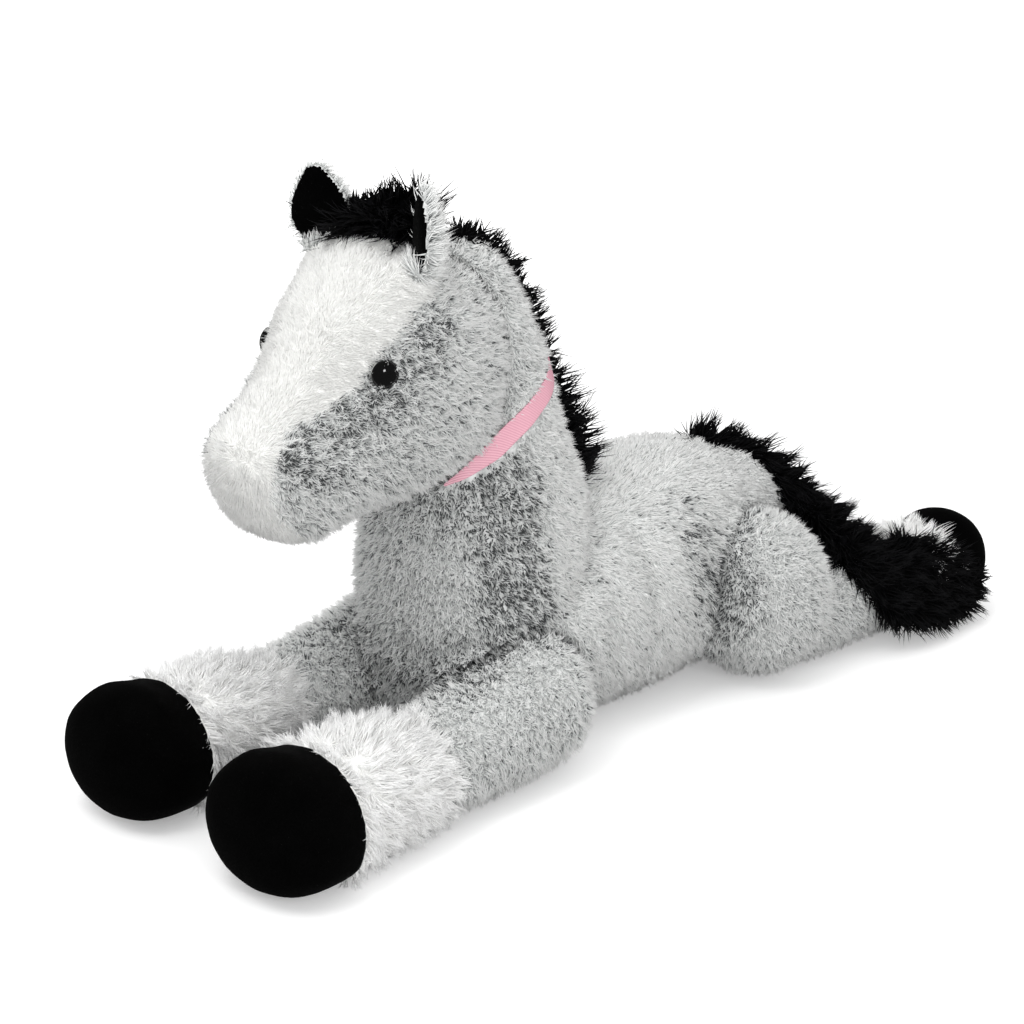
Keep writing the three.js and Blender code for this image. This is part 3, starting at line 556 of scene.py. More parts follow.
def gaps_to_others(mesh, own):
    """How far each point lies from the frame's other solids, without the eyes, which sink into the pile."""
    others = tree_of([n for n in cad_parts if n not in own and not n.startswith("eye")])
    return np.array([others.find_nearest(v.co)[3] for v in mesh.vertices])


def store_points(mesh, name, values):
    """Keeps a number or a vector for each point, which the pile's tree reads by name."""
    if np.ndim(values) == 2:
        made = mesh.attributes.new(name, "FLOAT_VECTOR", "POINT")
        made.data.foreach_set("vector", np.ascontiguousarray(values, dtype=float).ravel())
    else:
        made = mesh.attributes.new(name, "FLOAT", "POINT")
        made.data.foreach_set("value", np.ascontiguousarray(values, dtype=float))


def values_of(mesh, name):
    """What store_points kept, where it is a number."""
    return np.array([a.value for a in mesh.attributes[name].data])


def set_values(mesh, name, values):
    """Sets it anew."""
    mesh.attributes[name].data.foreach_set("value", values)


def shown_share(mesh, own):
    """1 where a skin shows, and 0 where another piece or the floor covers it."""
    points, normals = points_of(mesh), normals_of(mesh)
    shows = (gaps_to_others(mesh, own) > COVERED).astype(float)
    shows[distances_to(mesh, ["collar_ribbon"], 0) < RIBBON_RING] = 0
    shows[(points[:, 2] < 0.005) & (normals[:, 2] < -0.7)] = 0
    eyes = tree_of(["eye_left", "eye_right"])
    for i, vertex in enumerate(mesh.vertices):
        if eyes.find_nearest(vertex.co, EYE_RING)[0] is not None:
            shows[i] = 0
    return shows


def nap_of(mesh, way):
    """The way that the strands lie: way turned into the skin. Way is one vector, or one for each point."""
    normals = normals_of(mesh)
    ways = np.broadcast_to(np.array(way, float), normals.shape)
    flat = ways - normals * np.sum(ways * normals, axis=1, keepdims=True)
    return flat / np.maximum(np.linalg.norm(flat, axis=1, keepdims=True), 0.2)


def piled(base, own, way, tint=0.0, dark=0.0, grow=1.0):
    """Gives a base what its strands are grown by. Way, tint, dark and grow are as pile_tree says, each one
    value or one for each point. Near another piece the strands are up to a fifth shorter."""
    mesh = base.data
    count = len(mesh.vertices)
    store_points(mesh, "pile", shown_share(mesh, own))
    store_points(mesh, "grow", grow * (0.8 + 0.2 * smooth_step(gaps_to_others(mesh, own), 0.002, 0.012)))
    store_points(mesh, "nap", nap_of(mesh, way))
    store_points(mesh, "tint", np.broadcast_to(tint, count).astype(float))
    store_points(mesh, "dark", np.broadcast_to(dark, count).astype(float))


def patches(points, spots):
    """The sum of some soft round patches, alike on both sides. Each has its middle on the horse's left, its
    reach and its strength."""
    total = np.zeros(len(points))
    sides = np.abs(points[:, :1])
    for middle, reach, strength in spots:
        far = np.linalg.norm(np.hstack([sides, points[:, 1:]]) - np.array(middle), axis=1)
        total += strength * (1 - smooth_step(far, reach * 0.35, reach))
    return total


def painted(base, materials, classes):
    """Material slots, by the class of each face's first point."""
    for material in materials:
        base.data.materials.append(material)
    for face in base.data.polygons:
        face.material_index = int(classes[face.vertices[0]])


def distances_to(mesh, nodes, outwards=OVER_SKIN):
    """How far each point lies from these nodes, seen from above the drawn-in skin."""
    tree = tree_of(nodes)
    outer = points_of(mesh) + normals_of(mesh) * outwards
    return np.array([tree.find_nearest(Vector(p))[3] for p in outer])


def crease_by(mesh, nodes):
    """1 where a skin meets these nodes, and falling to 0 at 16 mm from them."""
    return 1 - smooth_step(distances_to(mesh, nodes), 0.004, 0.016)


def nearer_to(mesh, nodes, others, favour=0.0, outwards=OVER_SKIN):
    """1 for each point that lies nearer to the nodes than to the others. Favour widens that by a margin."""
    near = distances_to(mesh, nodes, outwards) - favour
    return (near < distances_to(mesh, others, outwards)).astype(int)


def largest_island(mesh):
    """Drops the bubbles that a remesh leaves inside."""
    shape = bmesh.new()
    shape.from_mesh(mesh)
    left, islands = set(shape.verts), []
    while left:
        island, front = [], [left.pop()]
        while front:
            vertex = front.pop()
            island.append(vertex)
            for edge in vertex.link_edges:
                other = edge.other_vert(vertex)
                if other in left:
                    left.remove(other)
                    front.append(other)
        islands.append(island)
    islands.sort(key=len)
    for island in islands[:-1]:
        bmesh.ops.delete(shape, geom=island, context="VERTS")
    shape.to_mesh(mesh)
    shape.free()


# Sizes and colours that a user would change

class HorseSettings(bpy.types.PropertyGroup):
    """The sizes of the pile and the yarn, and the colours of the finishes"""
    pile_length: bpy.props.FloatProperty(
        name="Pile length", description="Length of the grey pile's strands", default=0.008, unit="LENGTH")
    pile_spacing: bpy.props.FloatProperty(
        name="Pile spacing", description="Distance between the strands that are drawn", default=0.0015,
        unit="LENGTH")
    pile_width: bpy.props.FloatProperty(
        name="Strand width", description="Width of a strand at its foot", default=0.00115, unit="LENGTH")
    blaze_length: bpy.props.FloatProperty(
        name="Blaze pile", description="Length of the white pile on the face", default=0.0068, unit="LENGTH")
    cuff_length: bpy.props.FloatProperty(
        name="Cuff pile", description="Length of the shaggy white pile above the hooves", default=0.015,
        unit="LENGTH")
    fringe_length: bpy.props.FloatProperty(
        name="Fringe", description="Length of the mane's and tail's yarn", default=0.022, unit="LENGTH")
    plush_root: bpy.props.FloatVectorProperty(
        name="Plush roots", description="Colour of the grey pile at its foot", default=linear("#494B4B"),
        subtype="COLOR")
    plush_tip: bpy.props.FloatVectorProperty(
        name="Plush tips", description="Colour of the grey pile at its tip", default=linear("#F6F6F5"),
        subtype="COLOR")
    # The yarn's palest colour, at its tips, is partly its own and partly painted highlight
    yarn_tip: bpy.props.FloatVectorProperty(
        name="Yarn tips", description="Colour of the mane's and tail's yarn where it is palest",
        default=linear("#1C1C1E"), subtype="COLOR")
    # The velvet's colour is that of its lighter patches, which are painted sheen
    velvet_colour: bpy.props.FloatVectorProperty(
        name="Velvet", description="Colour of the hooves and the ears' linings", default=linear("#030303"),
        subtype="COLOR")
    eye_colour: bpy.props.FloatVectorProperty(
        name="Eyes", description="Colour of the button eyes", default=linear("#040404"), subtype="COLOR")
    # The ribbon's colour on its ribs holds painted sheen, and its shade between them holds painted shade
    ribbon_colour: bpy.props.FloatVectorProperty(
        name="Ribbon", description="Colour of the ribbon on its ribs", default=linear("#F2BFCC"),
        subtype="COLOR")
    ribbon_shade: bpy.props.FloatVectorProperty(
        name="Ribbon shade", description="Colour of the ribbon between its ribs", default=linear("#C47F90"),
        subtype="COLOR")


def settings():
    """The scene's own sizes and colours."""
    return bpy.context.scene.plush_horse


# Colours of a strand from its root to its tip. The settings give the grey's two ends and the black's tip

GREY = [(0.12, "#929494"), (0.3, "#D2D4D3"), (0.55, "#EAEBEA")]
WHITE = [(0.0, "#E4E4E2"), (0.4, "#EDEDEB"), (0.7, "#F2F2F0"), (1.0, "#FDFDFC")]
LONG_WHITE = [(0.0, "#F5F5F4"), (0.3, "#FDFDFC"), (1.0, "#FFFFFF")]
# The black yarn is paler towards its tips, partly its own colour and partly painted highlight
BLACK = [(0.0, "#030304"), (0.5, "#0A0A0B")]


def finish(name):
    """One of the horse's finishes, made the first time that it is asked for."""
    found = bpy.data.materials.get(name)
    if found:
        return found
    s = settings()
    grey = [(0.0, s.plush_root), *GREY, (1.0, s.plush_tip)]
    black = [*BLACK, (1.0, s.yarn_tip)]
    makers = {
        "Frosted plush pile": lambda: pile_material(name, grey, 0.85, 0.9),
        "White plush pile": lambda: pile_material(name, WHITE, 0.8, 0.4),
        "Long white plush pile": lambda: pile_material(name, LONG_WHITE, 0.8, 0.4),
        "Black yarn": lambda: pile_material(name, black, 0.62, 0.8),
        "Grey plush ground": lambda: backing_material(name, "#A6A8A7", "#D7D8D7", 0.005),
        "White plush ground": lambda: backing_material(name, "#E4E4E2", "#F2F2F0", 0.006),
        "Black yarn ground": lambda: backing_material(name, "#030304", "#08080A", 0.006),
        "Black velvet": lambda: velvet_material(name, "#010101", s.velvet_colour),
        "Polished eye plastic": lambda: plastic_material(name, s.eye_colour, 0.05),
        "Moulded washer plastic": lambda: plastic_material(name, "#DBDBD7", 0.4),
        "Pink satin ribbon": lambda: ribbon_material(name, s.ribbon_shade, s.ribbon_colour, 0.0011),
    }
    return makers[name]()


# Painted shade on the grey plush, where shade falls on the chest's sides and the throat, the front of the
# haunches, the inner forelegs and the cheeks. The nostrils are darker spots. Each has its middle, reach and
# strength
CHEST_SHADE_SPOTS = [
    ((0.069, -0.110, 0.213), 0.045, 0.5),
    ((0.076, -0.112, 0.171), 0.045, 0.55),
    ((0.081, -0.110, 0.130), 0.045, 0.65),
    ((0.088, -0.112, 0.100), 0.035, 0.5),
    ((0.044, -0.146, 0.225), 0.06, 0.3),
]
HAUNCH_SHADE_SPOTS = [
    ((0.086, 0.086, 0.165), 0.045, 0.35),
    ((0.097, 0.092, 0.130), 0.045, 0.5),
    ((0.105, 0.095, 0.090), 0.045, 0.5),
]
FORELEG_SHADE_SPOTS = [
    ((0.045, -0.150, 0.085), 0.06, 0.35),
]
CHEEK_SHADE_SPOTS = [
    ((0.060, -0.235, 0.325), 0.045, 0.5),
    ((0.052, -0.275, 0.285), 0.04, 0.5),
    ((0.072, -0.185, 0.350), 0.035, 0.4),
]
NOSTRIL_SPOTS = [
    ((0.044, -0.294, 0.282), 0.013, 1.6),
]

PUFF = 0.003  # the most that a cover is blown up
PILE_TUFT = 0.0065
SEAM_DEPTH = 0.003
FOLDS = (-0.022, 0.022)  # along Y
FOLD_WIDTH, FOLD_DEPTH = 0.007, 0.004

BODY_NODES = ["torso_skin", "torso_filling", "neck_skin", "neck_filling"]
HEAD_NODES = ["head_cheeks", "head_blaze", "head_filling"]


class HORSE_OT_body(bpy.types.Operator):
    """Makes the torso and neck, one stuffed skin, and their pile"""
    bl_idname = "plush_horse.body"
    bl_label = "Body"

    def execute(self, context):
        base = stuffed("body_plush", BODY_NODES, voxel=0.0055, inset=0.005, puff=PUFF)
        mesh = base.data
        # The seam between neck and torso draws the skin in
        apart = np.maximum(distances_to(mesh, ["neck_skin"]), distances_to(mesh, ["torso_skin"]))
        seam = 1 - smooth_step(apart, 0.004, 0.014)
        points = points_of(mesh)
        # Two soft folds run down the barrel
        sides = smooth_step(np.abs(points[:, 0]), 0.03, 0.07) * (1 - smooth_step(points[:, 2], 0.17, 0.19))
        folds = sum(np.exp(-((points[:, 1] - y) / FOLD_WIDTH) ** 2) for y in FOLDS) * sides
        points -= normals_of(mesh) * (SEAM_DEPTH * seam + FOLD_DEPTH * folds)[:, None]
        points[:, 2] = np.maximum(points[:, 2], FLOOR_REST)
        move_points(mesh, points)
        spots = patches(points, CHEST_SHADE_SPOTS + HAUNCH_SHADE_SPOTS)
        # Where the legs are sewn on, the pile is darker, as painted shade in the crease
        legs = crease_by(mesh, [f"{leg}_skin" for leg in LEGS])
        # The pile is painted paler behind the chest, as painted light on the barrel
        pale = smooth_step(points[:, 1], -0.11, -0.05)
        # Painted shade: the pile is darker, with more dark strands, in the neck's seam, the folds, the legs'
        # creases and the shaded spots
        piled(base, BODY_NODES, (0, 0.5, -0.85), dark=0.03 + 0.2 * seam + 0.1 * folds + 0.2 * legs + spots,
              tint=0.3 * pale - 0.1 * seam - 0.06 * folds - 0.12 * legs - 0.3 * spots - 0.04)
        mesh.materials.append(finish("Grey plush ground"))
        s = settings()
        points = points_of(mesh)
        whole = values_of(mesh, "pile")
        neck = points[:, 2] > 0.2
        front = points[:, 1] < -0.02
        ruffled = {"Lean": 0.55, "Ruffle": 0.7, "Pull": 1.0}
        brushed = {"Lean": 0.66, "Ruffle": 0.45, "Pull": 0.7}
        for seed, name, where, shape in (
            (1, "chest_pile", front & ~neck, ruffled),
            (2, "barrel_pile", ~front & ~neck, brushed),
            (3, "neck_pile", neck, ruffled),
        ):
            set_values(mesh, "pile", whole * where)
            strands = grown(base, name, "torso", finish("Frosted plush pile"), Spacing=s.pile_spacing,
                            Length=s.pile_length, Width=s.pile_width, Tuft=PILE_TUFT, Joints=1, Seed=seed,
                            **shape)
        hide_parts(*BODY_NODES)
        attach(base, "torso")
        return {"FINISHED"}


class HORSE_OT_head(bpy.types.Operator):
    """Makes the head, with its grey cheeks and white blaze"""
    bl_idname = "plush_horse.head"
    bl_label = "Head"

    def execute(self, context):
        base = stuffed("head_plush", HEAD_NODES, voxel=0.004, inset=0.004, puff=PUFF)
        mesh = base.data
        points = points_of(mesh)
        spots = patches(points, CHEEK_SHADE_SPOTS)
        nostrils = patches(points, NOSTRIL_SPOTS)
        poll = smooth_step(points[:, 1], -0.2, -0.15)
        # The muzzle is painted paler, as painted light on its shaded underside
        muzzle = smooth_step(-points[:, 1], 0.27, 0.3) * (np.abs(points[:, 0]) < 0.035)
        # Painted shade on the cheeks; the nostrils are darker spots
        piled(base, HEAD_NODES, (0, 0.75, -0.35), dark=0.08 + spots + nostrils,
              tint=0.09 * poll - 0.3 * spots - 0.7 * nostrils + 0.5 * muzzle)
        # The white reaches a little further beside the eyes, and the grey beside the nostrils and the crown
        high = smooth_step(points[:, 2], 0.30, 0.32) - smooth_step(points[:, 2], 0.35, 0.365)
        low = points[:, 2] < 0.3
        crown = smooth_step(points[:, 2], 0.36, 0.37)
        favour = 0.003 * high - 0.004 * low - 0.004 * crown
        white = nearer_to(mesh, ["head_blaze"], ["head_cheeks"], favour=favour)
        # The pile is clipped at the foot of each ear's lining
        linings = distances_to(mesh, ["ear_left_lining", "ear_right_lining"], 0)
        clipped = 0.15 + 0.85 * smooth_step(linings, 0.004, 0.014)
        set_values(mesh, "grow", values_of(mesh, "grow") * clipped)
        painted(base, [finish("Grey plush ground"), finish("White plush ground")], white)
        whole = values_of(mesh, "pile")
        s = settings()
        grey_shape = {"Length": s.pile_length, "Spacing": s.pile_spacing * 0.85, "Lean": 0.5, "Ruffle": 0.7,
                      "Pull": 1.0}
        white_shape = {"Length": s.blaze_length, "Spacing": s.pile_spacing * 0.75, "Lean": 0.7,
                       "Ruffle": 0.35, "Pull": 0.35, "Uneven": 0.1}
        for seed, name, where, kind, slot, shape in (
            (11, "cheek_pile", white == 0, "Frosted plush pile", "grey_plush", grey_shape),
            (12, "blaze_pile", white == 1, "White plush pile", "white_plush", white_shape),
        ):
            set_values(mesh, "pile", whole * where)
            strands = grown(base, name, "head", finish(kind), Width=s.pile_width * 0.9, Tuft=PILE_TUFT,
                            Joints=1, Seed=seed, **shape)
        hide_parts(*HEAD_NODES)
        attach(base, "head")
        return {"FINISHED"}


LEGS = {
    # body, way along Y to the hoof, seams of the cuff and the hoof along Y
    "foreleg_left": (-1, -0.213, -0.310),
    "foreleg_right": (-1, -0.213, -0.310),
    "hindleg_left": (1, 0.304, 0.360),
    "hindleg_right": (1, 0.304, 0.360),
}


class HORSE_OT_legs(bpy.types.Operator):
    """Makes the four legs, each with grey pile, a shaggy white cuff and a velvet hoof"""
    bl_idname = "plush_horse.legs"
    bl_label = "Legs"

    def execute(self, context):
        s = settings()
        for count, (body, (way, cuff, hoof)) in enumerate(LEGS.items()):
            nodes = [f"{body}_{part}" for part in ("skin", "cuff", "hoof_band", "hoof_sole", "filling")]

            def inset(p):
                """The pile is deep, and the velvet stands a little out."""
                return 0.005 - 0.0065 * smooth_step(way * (p[:, 1] - hoof), -0.008, 0.004)

            base = stuffed(f"{body}_plush", nodes, voxel=0.0045, inset=inset, puff=PUFF, rounds=16)
            mesh = base.data
            points = points_of(mesh)
            beyond = way * (points[:, 1] - cuff) > 0
            past = way * (points[:, 1] - hoof) > 0
            # The cuff's pile parts: at its end it falls over the hoof, and before that it lies up the leg
            lie = np.where(beyond[:, None], (0, 0, -0.3), (0, 0.45 * way, -0.8))
            parting = smooth_step(way * (hoof - points[:, 1]), 0.006, 0.03)
            lie[:, 1] += np.where(beyond, way * (0.6 - 1.35 * parting), 0)
            spots = patches(points, HAUNCH_SHADE_SPOTS + FORELEG_SHADE_SPOTS)
            # The seam on the body draws the skin in
            sewn = crease_by(mesh, ["torso_skin", "neck_skin"])
            move_points(mesh, points - normals_of(mesh) * (SEAM_DEPTH * sewn)[:, None])
            # Painted shade: the pile is darker, with more dark strands, where the leg is sewn on and in the
            # shaded spots
            piled(base, nodes, lie, dark=0.03 + 0.35 * sewn + spots, tint=0.04 - 0.2 * sewn - 0.35 * spots)
            classes = np.where(past, 2, np.where(beyond, 1, 0))
            painted(base, [finish("Grey plush ground"), finish("White plush ground"), finish("Black velvet")],
                    classes)
            whole = values_of(mesh, "pile")
            grey_shape = {"Spacing": s.pile_spacing, "Length": s.pile_length, "Width": s.pile_width,
                          "Lean": 0.5, "Ruffle": 0.7, "Uneven": 0.2, "Tuft": PILE_TUFT, "Joints": 1}
            cuff_shape = {"Spacing": s.pile_spacing * 0.76, "Length": s.cuff_length,
                          "Width": s.pile_width * 0.85, "Lean": 0.62, "Ruffle": 0.6, "Uneven": 0.4,
                          "Tuft": 0.011, "Joints": 2}
            for kind, (name, look, slot, shape) in enumerate((
                ("pile", "Frosted plush pile", "grey_plush", grey_shape),
                ("cuff_pile", "Long white plush pile", "white_plush", cuff_shape),
            )):
                set_values(mesh, "pile", whole * (classes == kind))
                strands = grown(base, f"{body}_{name}", body, finish(look), Pull=1.0,
                                Seed=20 + 2 * count + kind, **shape)
            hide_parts(*nodes)
            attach(base, body)
        return {"FINISHED"}


class HORSE_OT_ears(bpy.types.Operator):
    """Makes the ears: a furry back and a cupped velvet lining"""
    bl_idname = "plush_horse.ears"
    bl_label = "Ears"

    def execute(self, context):
        s = settings()
        for count, side in enumerate(("left", "right")):
            nodes = [f"ear_{side}_back", f"ear_{side}_lining"]
            base = stuffed(f"ear_{side}_plush", nodes, voxel=0.0022, inset=0.001, puff=0.0, rounds=4)
            lining = nearer_to(base.data, [nodes[1]], [nodes[0]], favour=0.0008, outwards=0.001)
            piled(base, nodes, (0, 0.9, 0.4), dark=0.05, tint=0.12)
            painted(base, [finish("Grey plush ground"), finish("Black velvet")], lining)
            set_values(base.data, "pile", values_of(base.data, "pile") * (lining == 0))
            strands = grown(base, f"ear_{side}_pile", f"ear_{side}", finish("Frosted plush pile"),
                            Spacing=s.pile_spacing * 0.8, Length=s.pile_length * 1.6,
                            Width=s.pile_width * 0.9, Lean=0.7, Ruffle=0.5, Uneven=0.4, Seed=40 + count)
            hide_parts(*nodes)
            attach(base, f"ear_{side}")
        return {"FINISHED"}


def fringe(name, node, body, inset, way, length, spacing, seed, lean=0.45, ruffle=0.5, grow=None):
    """A yarn fringe: its bound middle, and the cut yarn that stands out of it. Grow gives a share of the
    length for each point, and way may give a direction for each."""
    base = stuffed(f"{name}_root", [node], voxel=0.003, inset=inset, puff=0.0, rounds=5)
    points = points_of(base.data)
    piled(base, [node], way(points) if callable(way) else way, grow=grow(points) if grow else 1.0)
    base.data.materials.append(finish("Black yarn ground"))
    strands = grown(base, f"{name}_yarn", body, finish("Black yarn"), Spacing=spacing, Length=length,
                    Width=0.0018, Lean=lean, Ruffle=ruffle, Tuft=0.012, Pull=0.9, Uneven=0.8, Seed=seed,
                    Joints=3)
    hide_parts(node)
    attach(base, body)


class HORSE_OT_fringes(bpy.types.Operator):
    """Makes the mane, the forelock and the tail of cut black yarn"""
    bl_idname = "plush_horse.fringes"
    bl_label = "Mane and tail"

    def execute(self, context):
        length = settings().fringe_length
        low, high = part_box("mane_fringe")
        # The mane is cut shorter towards the poll
        fringe("mane", "mane_fringe", "torso", inset=0.003, way=(0, 0.8, 0.6), length=length, spacing=0.0020,
               seed=51, grow=lambda p: 1.1 - 0.35 * smooth_step(p[:, 2], low.z, high.z))
        low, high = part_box("forelock_fringe")
        middle = (low + high) / 2

        def hangs(p):
            """The forelock's front, which hangs over the forehead."""
            return p[:, 2] < middle.z

        def stands(p):
            """The rest of it stands up, longest to one side."""
            return 0.45 + 0.6 * smooth_step(p[:, 0] + p[:, 1] - middle.y, -0.02, 0.03)

        fringe("forelock", "forelock_fringe", "head", inset=0.008,
               way=lambda p: np.where(hangs(p)[:, None], (-0.2, -0.7, -0.6), (0.1, -0.1, 0.9)),
               length=length, spacing=0.0022, seed=52, grow=lambda p: np.where(hangs(p), 1.1, stands(p)))
        low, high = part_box("tail_fringe")
        # The tail's outer side is cut shorter
        fringe("tail", "tail_fringe", "tail", inset=0.003, way=(0.45, 0.8, -0.4), length=length,
               spacing=0.0022, seed=53, lean=0.5,
               grow=lambda p: 1 - 0.5 * smooth_step(p[:, 0], high.x - 0.03, high.x))
        return {"FINISHED"}


TILT = math.radians(25)  # of the face, nose down
FACE_WAY = Vector((0, -math.cos(TILT), -math.sin(TILT)))
FACE_UP = Vector((0, -math.sin(TILT), math.cos(TILT)))
EYE_RADIUS, EYE_DOME = 0.010, 0.0055
EYE_SUNK = 0.0095  # from the solid's tip down to the foot of the dome
# The shank and the rim behind the dome, as distance from the axis and place along it
EYE_BACK = [(0, -0.016), (0.003, -0.016), (0.003, -0.0012), (0.0094, -0.0010), (0.0099, -0.0004)]


def lathed(name, profile, middle, axis, around):
    """A surface of revolution about the axis. The profile runs out from the axis and along it, in metres."""
    shape = bmesh.new()
    rings = []
    for radius, along in profile:
        if radius < 1e-9:
            rings.append([shape.verts.new((0, 0, along))])
            continue
        turns = [2 * math.pi * k / around for k in range(around)]
        rings.append([shape.verts.new((radius * math.cos(t), radius * math.sin(t), along)) for t in turns])
    for low, high in zip(rings, rings[1:]):
        for k in range(around):
            j = (k + 1) % around
            if len(low) == 1:
                shape.faces.new((low[0], high[j], high[k]))
            elif len(high) == 1:
                shape.faces.new((low[k], low[j], high[0]))
            else:
                shape.faces.new((low[k], low[j], high[j], high[k]))
    bmesh.ops.recalc_face_normals(shape, faces=shape.faces)
    mesh = mesh_of(shape, name)
    turn = axis.to_track_quat("Z", "Y").to_matrix().to_4x4()
    mesh.transform(Matrix.Translation(middle) @ turn)
    mesh.shade_smooth()
    return new_object(name, mesh)


class HORSE_OT_eyes(bpy.types.Operator):
    """Makes the two glossy button eyes"""
    bl_idname = "plush_horse.eyes"
    bl_label = "Eyes"

    def execute(self, context):
        for hand, side in ((1, "left"), (-1, "right")):
            node = f"eye_{side}"
            axis = (Vector((hand, 0, 0)) + 0.3 * FACE_WAY + 0.22 * FACE_UP).normalized()
            points = points_of(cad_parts[node].data)
            tip = Vector(points[int(np.argmax(points @ np.array(axis)))])
            # The pile stands round the button, which sinks a little into it
            middle = tip - axis * EYE_SUNK
            angles = np.linspace(0, math.pi / 2, 13)[:-1]
            dome = [(EYE_RADIUS * math.cos(a), EYE_DOME * math.sin(a)) for a in angles]
            profile = [*EYE_BACK, *dome, (0, EYE_DOME)]
            eye = lathed(f"eye_{side}_button", profile, middle, axis, 48)
            eye.data.materials.append(finish("Polished eye plastic"))
            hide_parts(node)
            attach(eye, "head")
            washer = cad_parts[f"{node}_washer"]
            washer.data.materials.clear()
            washer.data.materials.append(finish("Moulded washer plastic"))
        return {"FINISHED"}


RIBBON_TILT = math.radians(28)  # of the ribbon's plane
RIBBON_WIDTH = 0.016
RIBBON_THICKNESS = 0.0011
RIBBON_STEPS = 181  # rows of points round the neck, 2 degrees apart
RIBBON_RAYS = np.linspace(-1.6, 1.6, 33)  # across it, in half widths
RAY_START = 0.3  # outside the neck
RIBBON_ROUNDS = 12  # of smoothing along it


class HORSE_OT_collar(bpy.types.Operator):
    """Makes the satin ribbon round the neck"""
    bl_idname = "plush_horse.collar"
    bl_label = "Collar"

    def execute(self, context):
        ribbon = tree_of(["collar_ribbon"])
        across = Vector((1, 0, 0))
        back = Vector((0, math.cos(RIBBON_TILT), math.sin(RIBBON_TILT)))
        up = Vector((0, -math.sin(RIBBON_TILT), math.cos(RIBBON_TILT)))
        places = [(v.co.dot(back), v.co.dot(up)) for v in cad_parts["collar_ribbon"].data.vertices]
        middle = sum((way * (min(at) + max(at)) / 2 for way, at in zip((back, up), zip(*places))), Vector())
        rows = []
        for number in range(RIBBON_STEPS):
            angle = math.radians(-180 + 2 * number) - math.pi / 2
            out = across * math.cos(angle) + back * -math.sin(angle)
            hits = []
            for share in RIBBON_RAYS:
                start = middle + up * share * RIBBON_WIDTH / 2 + out * RAY_START
                hit = ribbon.ray_cast(start, -out, RAY_START)[0]
                if hit is not None:
                    hits.append((share, *hit))
            # Nothing shows here, where the jaw lies on the neck
            if len(hits) < 3:
                rows.append(None)
                continue
            # Where the cheek covers part of its width, the row is what shows of it
            hits = np.array(hits)
            places = np.linspace(hits[0, 0], hits[-1, 0], 5)
            line = [np.interp(places, hits[:, 0], hits[:, k]) for k in (1, 2, 3)]
            rows.append(np.stack([places * RIBBON_WIDTH / 2, *line], axis=1))
        # The longest run of rows, going round twice so that it may pass the start
        runs, run = [], []
        for row in rows + rows:
            if row is None:
                runs.append(run)
                run = []
            elif len(run) < len(rows):
                run.append(row)
        runs.append(run)
        rows = np.array(max(runs, key=len))
        for _ in range(RIBBON_ROUNDS):
            rows[1:-1] = (rows[:-2] + 2 * rows[1:-1] + rows[2:]) / 4
        # The weave's map runs in metres, along the ribbon and across it
        shape = bmesh.new()
        grid = [[shape.verts.new(point[1:]) for point in row] for row in rows]
        weave = shape.loops.layers.uv.new("weave")
        steps = np.linalg.norm(np.diff(rows[:, 2, 1:], axis=0), axis=1)
        lengths = [0.0, *np.cumsum(steps)]
        for i in range(len(grid) - 1):
            for k in range(4):
                places = ((i, k), (i + 1, k), (i + 1, k + 1), (i, k + 1))
                face = shape.faces.new([grid[r][c] for r, c in places])
                for loop, (r, c) in zip(face.loops, places):
                    loop[weave].uv = (lengths[r], rows[r, c, 0])
        made = new_object("collar_ribbon_satin", mesh_of(shape, "collar_ribbon_satin"))
        finished(made, [("SUBSURF", {"levels": 2, "render_levels": 2}),
                        ("SOLIDIFY", {"thickness": RIBBON_THICKNESS, "offset": 1.0})])
        made.data.shade_smooth()
        made.data.materials.append(finish("Pink satin ribbon"))
        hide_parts("collar_ribbon")
        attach(made, "torso")
        return {"FINISHED"}


FLOOR_HALF = 8.0
WORLD_LIGHT, WORLD_SEEN, WORLD_MIRRORED = 0.88, 1.0, 0.15
LAMPS = {
    # place, size and power
    "top lamp": ((0.3, -0.3, 2.4), 2.2, 16.0),
    "front lamp": ((1.9, -1.9, 1.5), 1.6, 13.0),
    "face lamp": ((0.17, -1.09, 1.9), 0.7, 9.0),
    "side lamp": ((-2.2, -0.9, 1.3), 1.4, 10.0),
    "spark lamp": ((1.83, -0.67, 0.89), 0.34, 6.0),
}
AZIMUTH, ELEVATION, DISTANCE = math.radians(44), math.radians(20), 1.87
TARGET = Vector((-0.036, 0, 0.15))


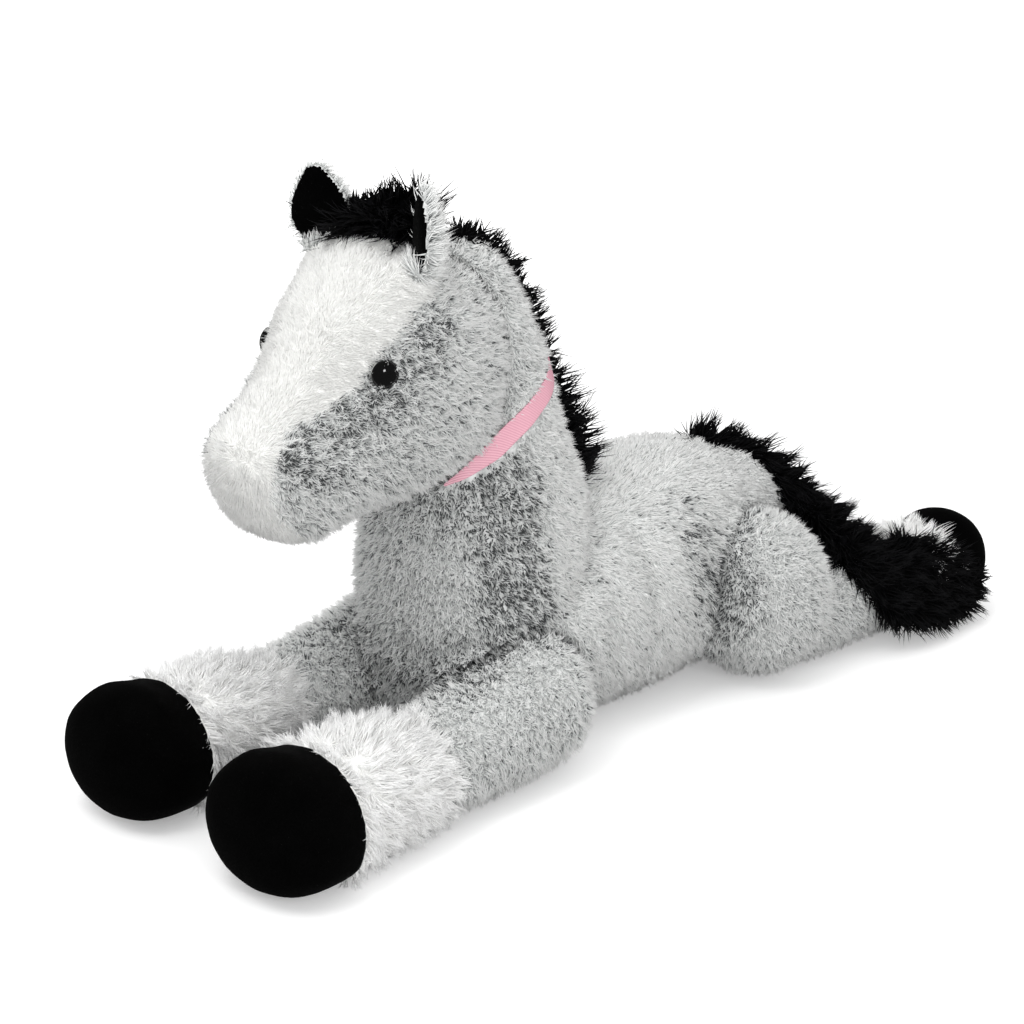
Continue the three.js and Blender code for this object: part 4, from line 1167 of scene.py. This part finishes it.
class HORSE_OT_stage(bpy.types.Operator):
    """Makes the floor, the soft lamps, the pale background and the camera"""
    bl_idname = "plush_horse.stage"
    bl_label = "Stage"

    def execute(self, context):
        scene = context.scene
        scene.view_settings.view_transform = "Standard"
        mesh = bpy.data.meshes.new("floor")
        corners = [(x * FLOOR_HALF, y * FLOOR_HALF, 0) for x, y in ((-1, -1), (1, -1), (1, 1), (-1, 1))]
        mesh.from_pydata(corners, [], [(0, 1, 2, 3)])
        floor = new_object("floor", mesh)
        made, tree, shader = new_material("Studio floor")
        shader.inputs["Base Color"].default_value = rgba("#E4E4E4")
        shader.inputs["Roughness"].default_value = 1.0
        shader.inputs["Specular IOR Level"].default_value = 0.0
        path = add(tree, "ShaderNodeLightPath").outputs
        # Seen directly, the floor is lifted, and further away from the horse, so that it meets the background
        # without an edge
        spot = add(tree, "ShaderNodeTexCoord").outputs["Object"]
        apart = add(tree, VECTOR, {0: spot}, operation="LENGTH").outputs["Value"]
        rise = add(tree, MAP_RANGE, {"Value": apart, "From Min": 0.6, "From Max": 2.2, "To Min": 0.3,
                                     "To Max": 1.0})
        lift = add(tree, MATHS, {0: path["Is Camera Ray"], 1: rise}, operation="MULTIPLY")
        tree.links.new(lift.outputs[0], shader.inputs["Emission Strength"])
        shader.inputs["Emission Color"].default_value = (1, 1, 1, 1)
        floor.data.materials.append(made)
        # The eyes don't mirror it
        floor.visible_glossy = False
        world = bpy.data.worlds.new("Studio")
        scene.world = world
        world.use_nodes = True
        tree = world.node_tree
        ground = tree.nodes["Background"]
        path = add(tree, "ShaderNodeLightPath").outputs
        seen = add(tree, MATHS, {0: path["Is Camera Ray"], 1: path["Is Transmission Ray"]},
                   operation="MAXIMUM")
        strength = add(tree, MAP_RANGE, {"Value": seen, "To Min": WORLD_LIGHT, "To Max": WORLD_SEEN})
        # A gloss mirrors a dim studio
        mirrored = add(tree, MAP_RANGE, {"Value": path["Is Glossy Ray"], "To Min": strength,
                                         "To Max": WORLD_MIRRORED})
        tree.links.new(mirrored.outputs["Result"], ground.inputs["Strength"])
        ground.inputs["Color"].default_value = (1, 1, 1, 1)
        for name, (place, size, power) in LAMPS.items():
            light = bpy.data.lights.new(name, "AREA")
            light.size = size
            light.energy = power
            lamp = new_object(name, light)
            lamp.location = place
            # Only one lamp shows in the gloss of the eyes
            lamp.visible_glossy = name == "spark lamp"
            lamp.rotation_euler = (Vector((0, 0, 0.15)) - Vector(place)).to_track_quat("-Z", "Y").to_euler()
        camera = bpy.data.cameras.new("camera")
        camera.sensor_width = 36
        camera.lens = 84.375
        camera.clip_end = 50
        eye = new_object("camera", camera)
        away = Vector((math.sin(AZIMUTH) * math.cos(ELEVATION), -math.cos(AZIMUTH) * math.cos(ELEVATION),
                       math.sin(ELEVATION)))
        eye.location = TARGET + away * DISTANCE
        eye.rotation_euler = (-away).to_track_quat("-Z", "Y").to_euler()
        scene.camera = eye
        return {"FINISHED"}


class HORSE_PT_panel(bpy.types.Panel):
    """The horse's pieces and sizes"""
    bl_idname = "HORSE_PT_panel"
    bl_label = "Plush horse"
    bl_space_type = "VIEW_3D"
    bl_region_type = "UI"
    bl_category = "Horse"

    def draw(self, context):
        for name in HorseSettings.__annotations__:
            self.layout.prop(context.scene.plush_horse, name)
        for step in STEPS:
            self.layout.operator(step.bl_idname)


STEPS = (HORSE_OT_stage, HORSE_OT_body, HORSE_OT_head, HORSE_OT_legs, HORSE_OT_ears, HORSE_OT_fringes,
         HORSE_OT_eyes, HORSE_OT_collar)
CLASSES = (HorseSettings, *STEPS, HORSE_PT_panel)


def register():
    """Adds the horse's classes and settings to Blender."""
    for kind in CLASSES:
        bpy.utils.register_class(kind)
    bpy.types.Scene.plush_horse = bpy.props.PointerProperty(type=HorseSettings)


def unregister():
    """Takes them out again."""
    del bpy.types.Scene.plush_horse
    for kind in reversed(CLASSES):
        bpy.utils.unregister_class(kind)


def main():
    """Makes the horse."""
    register()
    for step in STEPS:
        group, name = step.bl_idname.split(".")
        getattr(getattr(bpy.ops, group), name)()


if __name__ == "__main__":
    main()
